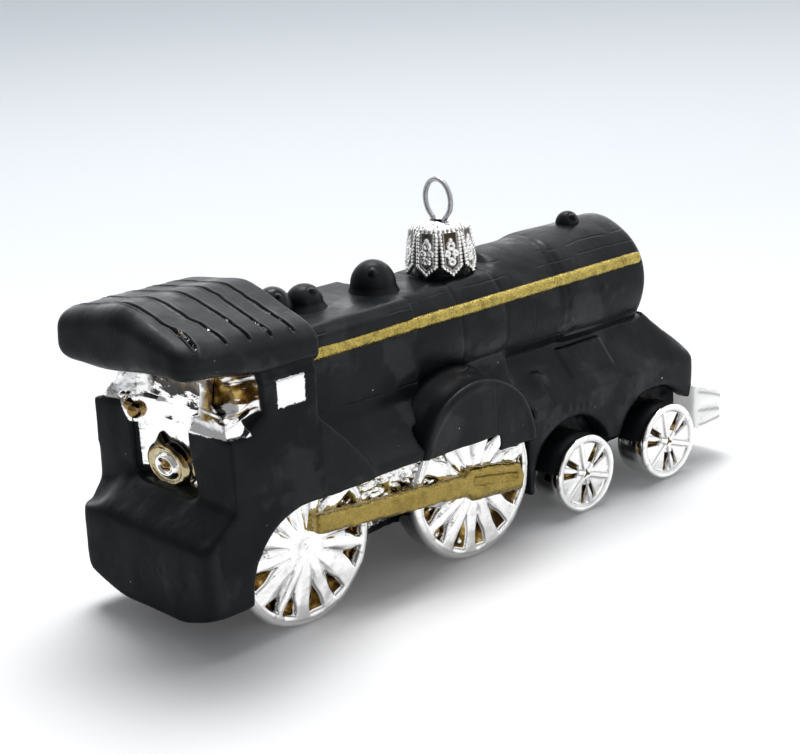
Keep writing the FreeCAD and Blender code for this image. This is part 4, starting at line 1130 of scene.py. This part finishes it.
cap = bmesh.new()
(recess,) = marks(cap, "recess")
for petal in range(PETALS):
    old = set(cap.verts)
    ops.create_grid(cap, x_segments=40, y_segments=66, size=1)
    fresh = [v for v in cap.verts if v not in old]
    angle = tau * (petal + 0.5) / PETALS
    darkness = 0.65 + 0.35 * cell(Vector((petal * 2.7, 1, 8)))
    for vert in fresh:
        across = vert.co.x * PETAL_HALF
        bottom = PETAL_LOW + 2 * abs(across) / PETAL_HALF
        share = (vert.co.y + 1) / 2
        height = bottom + (PETAL_HIGH - bottom) * share
        relief = petal_height(across, height, bottom)
        bend = 0.035 + 0.055 * step(59, 62.8, height)
        radius = 5.74 + 0.114 * (63 - height) - bend * across * across + 0.38 * relief
        vert.co = Vector((radius, across, height))
        # Painted shade: the lower the relief, the darker, by a different amount on each petal.
        vert[recess] = (1 - relief) * darkness
    ops.rotate(cap, verts=fresh, cent=(0, 0, 0), matrix=Matrix.Rotation(angle, 3, "Z"))
print("petals:", len(cap.faces), "faces")

# %% Crown of the cap
# Rows of points over the top and round the edge, the edge's radius, half the slot and the sheet.
TOP_ROWS, EDGE_ROWS, EDGE = 40, 14, 1.45
SLOT_X, SLOT_Y, SHEET = 0.95, 2.7, 0.32
crown = bmesh.new()
slope = [(64.5 - 0.25 * k / TOP_ROWS, 0.02 + 4.3 * k / TOP_ROWS) for k in range(TOP_ROWS + 1)]
for k in range(1, EDGE_ROWS + 1):
    turned = sin(pi / 2 * k / EDGE_ROWS)
    slope.append((64.25 - EDGE * turned ** 1.3, 4.32 + EDGE * turned))
slope += [(62.8 - 0.25 * k, 5.8) for k in range(1, 3)]
lathe(crown, slope, (0, 0, 0), UPWARD, 160)
# The slot for the wire is cut out of the middle.
for point, across in (((SLOT_X, 0, 0), FORWARD), ((-SLOT_X, 0, 0), FORWARD),
                      ((0, SLOT_Y, 0), LEFTWARD), ((0, -SLOT_Y, 0), LEFTWARD)):
    geometry = crown.verts[:] + crown.edges[:] + crown.faces[:]
    ops.bisect_plane(crown, geom=geometry, plane_co=point, plane_no=across)
middles = [(face, face.calc_center_median()) for face in crown.faces]
in_slot = [face for face, at in middles if abs(at.x) < SLOT_X and abs(at.y) < SLOT_Y]
ops.delete(crown, geom=in_slot, context="FACES")
(pits,) = marks(crown, "recess")
for vert in crown.verts:
    at = vert.co
    radius = hypot(at.x, at.y)
    turn = atan2(at.y, at.x)
    ridges = (0.5 + 0.5 * cos(turn * 36)) * bell(radius, 5.3, 0.6)
    lumps = noise(at * 1.5) + 0.6 * noise(at * 3.1)
    lumpy = 0.3 * step(1.2, 2.2, radius) * step(5.8, 5.4, radius)
    at.z += lumpy * lumps + 0.2 * ridges - 0.22
    at.xy *= 1 + 0.02 * ridges
    # Painted shade: dark in the hollows between lumps and round the edge, not on the ridges.
    vert[pits] = min(0.8, 0.9 * step(0.1, 0.6, -lumps) + 0.75 * bell(radius, 5.45, 0.45) - 0.9 * ridges)
cap.from_mesh(to_mesh(crown, "crown"))
ops.recalc_face_normals(cap, faces=cap.faces)
ops.solidify(cap, geom=cap.faces[:], thickness=SHEET)
ops.translate(cap, vec=(CAP_X, 0, 0), verts=cap.verts)
finish_piece(cap, "stamped_cap", CAP_METAL, ("cap_crown",), body="cap")

# %% [markdown]
# The ring is one spring wire bent to an open loop; its legs dive through the slot and spread
# inside the neck. A curve with a round bevel makes it, and becomes a mesh.

# %% Hanging wire
RING_MIDDLE, RING_RADIUS, WIRE_RADIUS, RING_STEPS = 68.5, 4.3, 0.55, 40
loop = [(3.3, 57), (2.4, 60), (1.75, 62.6), (1.7, 63.6)]
for k in range(RING_STEPS + 1):
    turn = radians(-64 + 308 * k / RING_STEPS)
    width = RING_RADIUS * 0.88 * (1 - 0.05 * bell(k, 0, 5) - 0.05 * bell(k, RING_STEPS, 5))
    loop.append((width * cos(turn), RING_MIDDLE + RING_RADIUS * sin(turn)))
loop += [(-across, height) for across, height in reversed(loop[:4])]
wire_curve = bpy.data.curves.new("wire_line", "CURVE")
wire_curve.dimensions = "3D"
wire_curve.bevel_depth = WIRE_RADIUS * MM
wire_curve.bevel_resolution = 6
wire_curve.use_fill_caps = True
line = wire_curve.splines.new("NURBS")
line.points.add(len(loop) - 1)
for point, (across, height) in zip(line.points, loop):
    point.co = (CAP_X * MM, across * MM, height * MM, 1)
line.order_u = 3
line.use_endpoint_u = True
line.resolution_u = 4
wire = to_bmesh(add_object("wire_line", wire_curve))
ops.scale(wire, vec=(1 / MM,) * 3, verts=wire.verts)
finish_piece(wire, "ring_wire", WIRE, ("hanger_wire",), body="wire", sharp=50)

# %% [markdown]
# CAD nodes whose plain form is right keep it and get a finish.

# %% Finishes for the CAD nodes that stay
KEPT = {"neck": BODY_PAINT}
for name, node in nodes.items():
    if not node.hide_render:
        node.data.materials.clear()
        node.data.materials.append(KEPT[name])
        print("kept from CAD:", name)

# %% [markdown]
# The stage is a pale floor that turns a little bluer far behind. The light is soft and comes from
# all round, as in a light tent, with a lamp above. Darker patches of the tent, one of them where
# the photographer is, give the mirror glass something to draw its outlines with.

# %% Floor
floor_mesh = bmesh.new()
ops.create_grid(floor_mesh, x_segments=2, y_segments=2, size=4)
ground = add_object("floor", to_mesh(floor_mesh, "floor"))
pale = Finish("pale_floor", Roughness=0.7, Specular_IOR_Level=0.1)
away = pale.y * 0.76 + pale.x * 0.65
far = away.rise(-60, 330) * 0.68 + away.rise(260, 1000) * 0.32
floor_colour = pale.blend(far, (0.93, 0.93, 0.935), (0.63, 0.675, 0.72))
pale.feed(Base_Color=floor_colour)
# A weak glow keeps the floor white, as the tent's own light does.
seen = (pale.ray("Camera") | pale.ray("Glossy")) * 0.06
glow = pale.node("Emission", {}, {"Color": floor_colour, "Strength": seen})
pale.show(pale.node("AddShader", {}, [pale.plain, glow]))
ground.data.materials.append(pale.material)


# %% Light tent
class Sky(Finish):
    """The world's light, written with the same formulas."""

    def __init__(self, name):
        self.world = bpy.data.worlds.new(name)
        self.world.use_nodes = True
        self.tree = self.world.node_tree
        self.set_place(self.node("TexCoord", {}, {}, "Generated"))


sky = Sky("light_tent")
bpy.context.scene.world = sky.world
photographer = abs(sky.x * 0.76 - sky.y * 0.65).rise(0.24, 0.1) * (sky.y * -1 - sky.x).rise(0.4, 0.7)
photographer = photographer * sky.z.rise(0.05, 0.2) * sky.z.rise(0.75, 0.5)
seam = abs(sky.z - 0.1).rise(0.09, 0.03) * abs(sky.cloud(1.7, 2) - 0.5).rise(0.14, 0.04)
far_side = (sky.y * 0.2 - sky.x).rise(0.3, 0.75)
dark = photographer * 0.75 | seam * 0.7 | far_side * 0.75
shown = sky.blend(dark, (1.06, 1.06, 1.07), (0.05, 0.05, 0.055))
ahead = (sky.x + sky.y).rise(0.3, 1) * sky.z.rise(0.9, 0.5)
shown = sky.blend(ahead, shown, (1.6, 1.6, 1.62))
overhead = (sky.x * 0.28 + sky.y * 0.2 + sky.z * 0.94).rise(0.9, 0.99)
lit = sky.blend(overhead, (0.19, 0.196, 0.208), (4.6, 4.6, 4.6))
# What the camera and the mirrors see of the tent is not what lights the matte surfaces.
tent = sky.blend(sky.ray("Camera") | sky.ray("Glossy") | sky.ray("Transmission"), lit, shown)
sky.tree.links.new(tent.socket, sky.tree.nodes["Background"].inputs["Color"])

# %% Lamp above
top_light = bpy.data.lights.new("top_light", "AREA")
top_light.shape = "RECTANGLE"
top_light.size, top_light.size_y = 0.42, 0.32
top_light.energy = 4.2
lamp = add_object("top_light", top_light)
lamp.location = (0.16, 0.26, 0.8)
lamp.rotation_euler = lamp.location.to_track_quat("Z", "Y").to_euler()
print("lamp:", top_light.energy, "W")
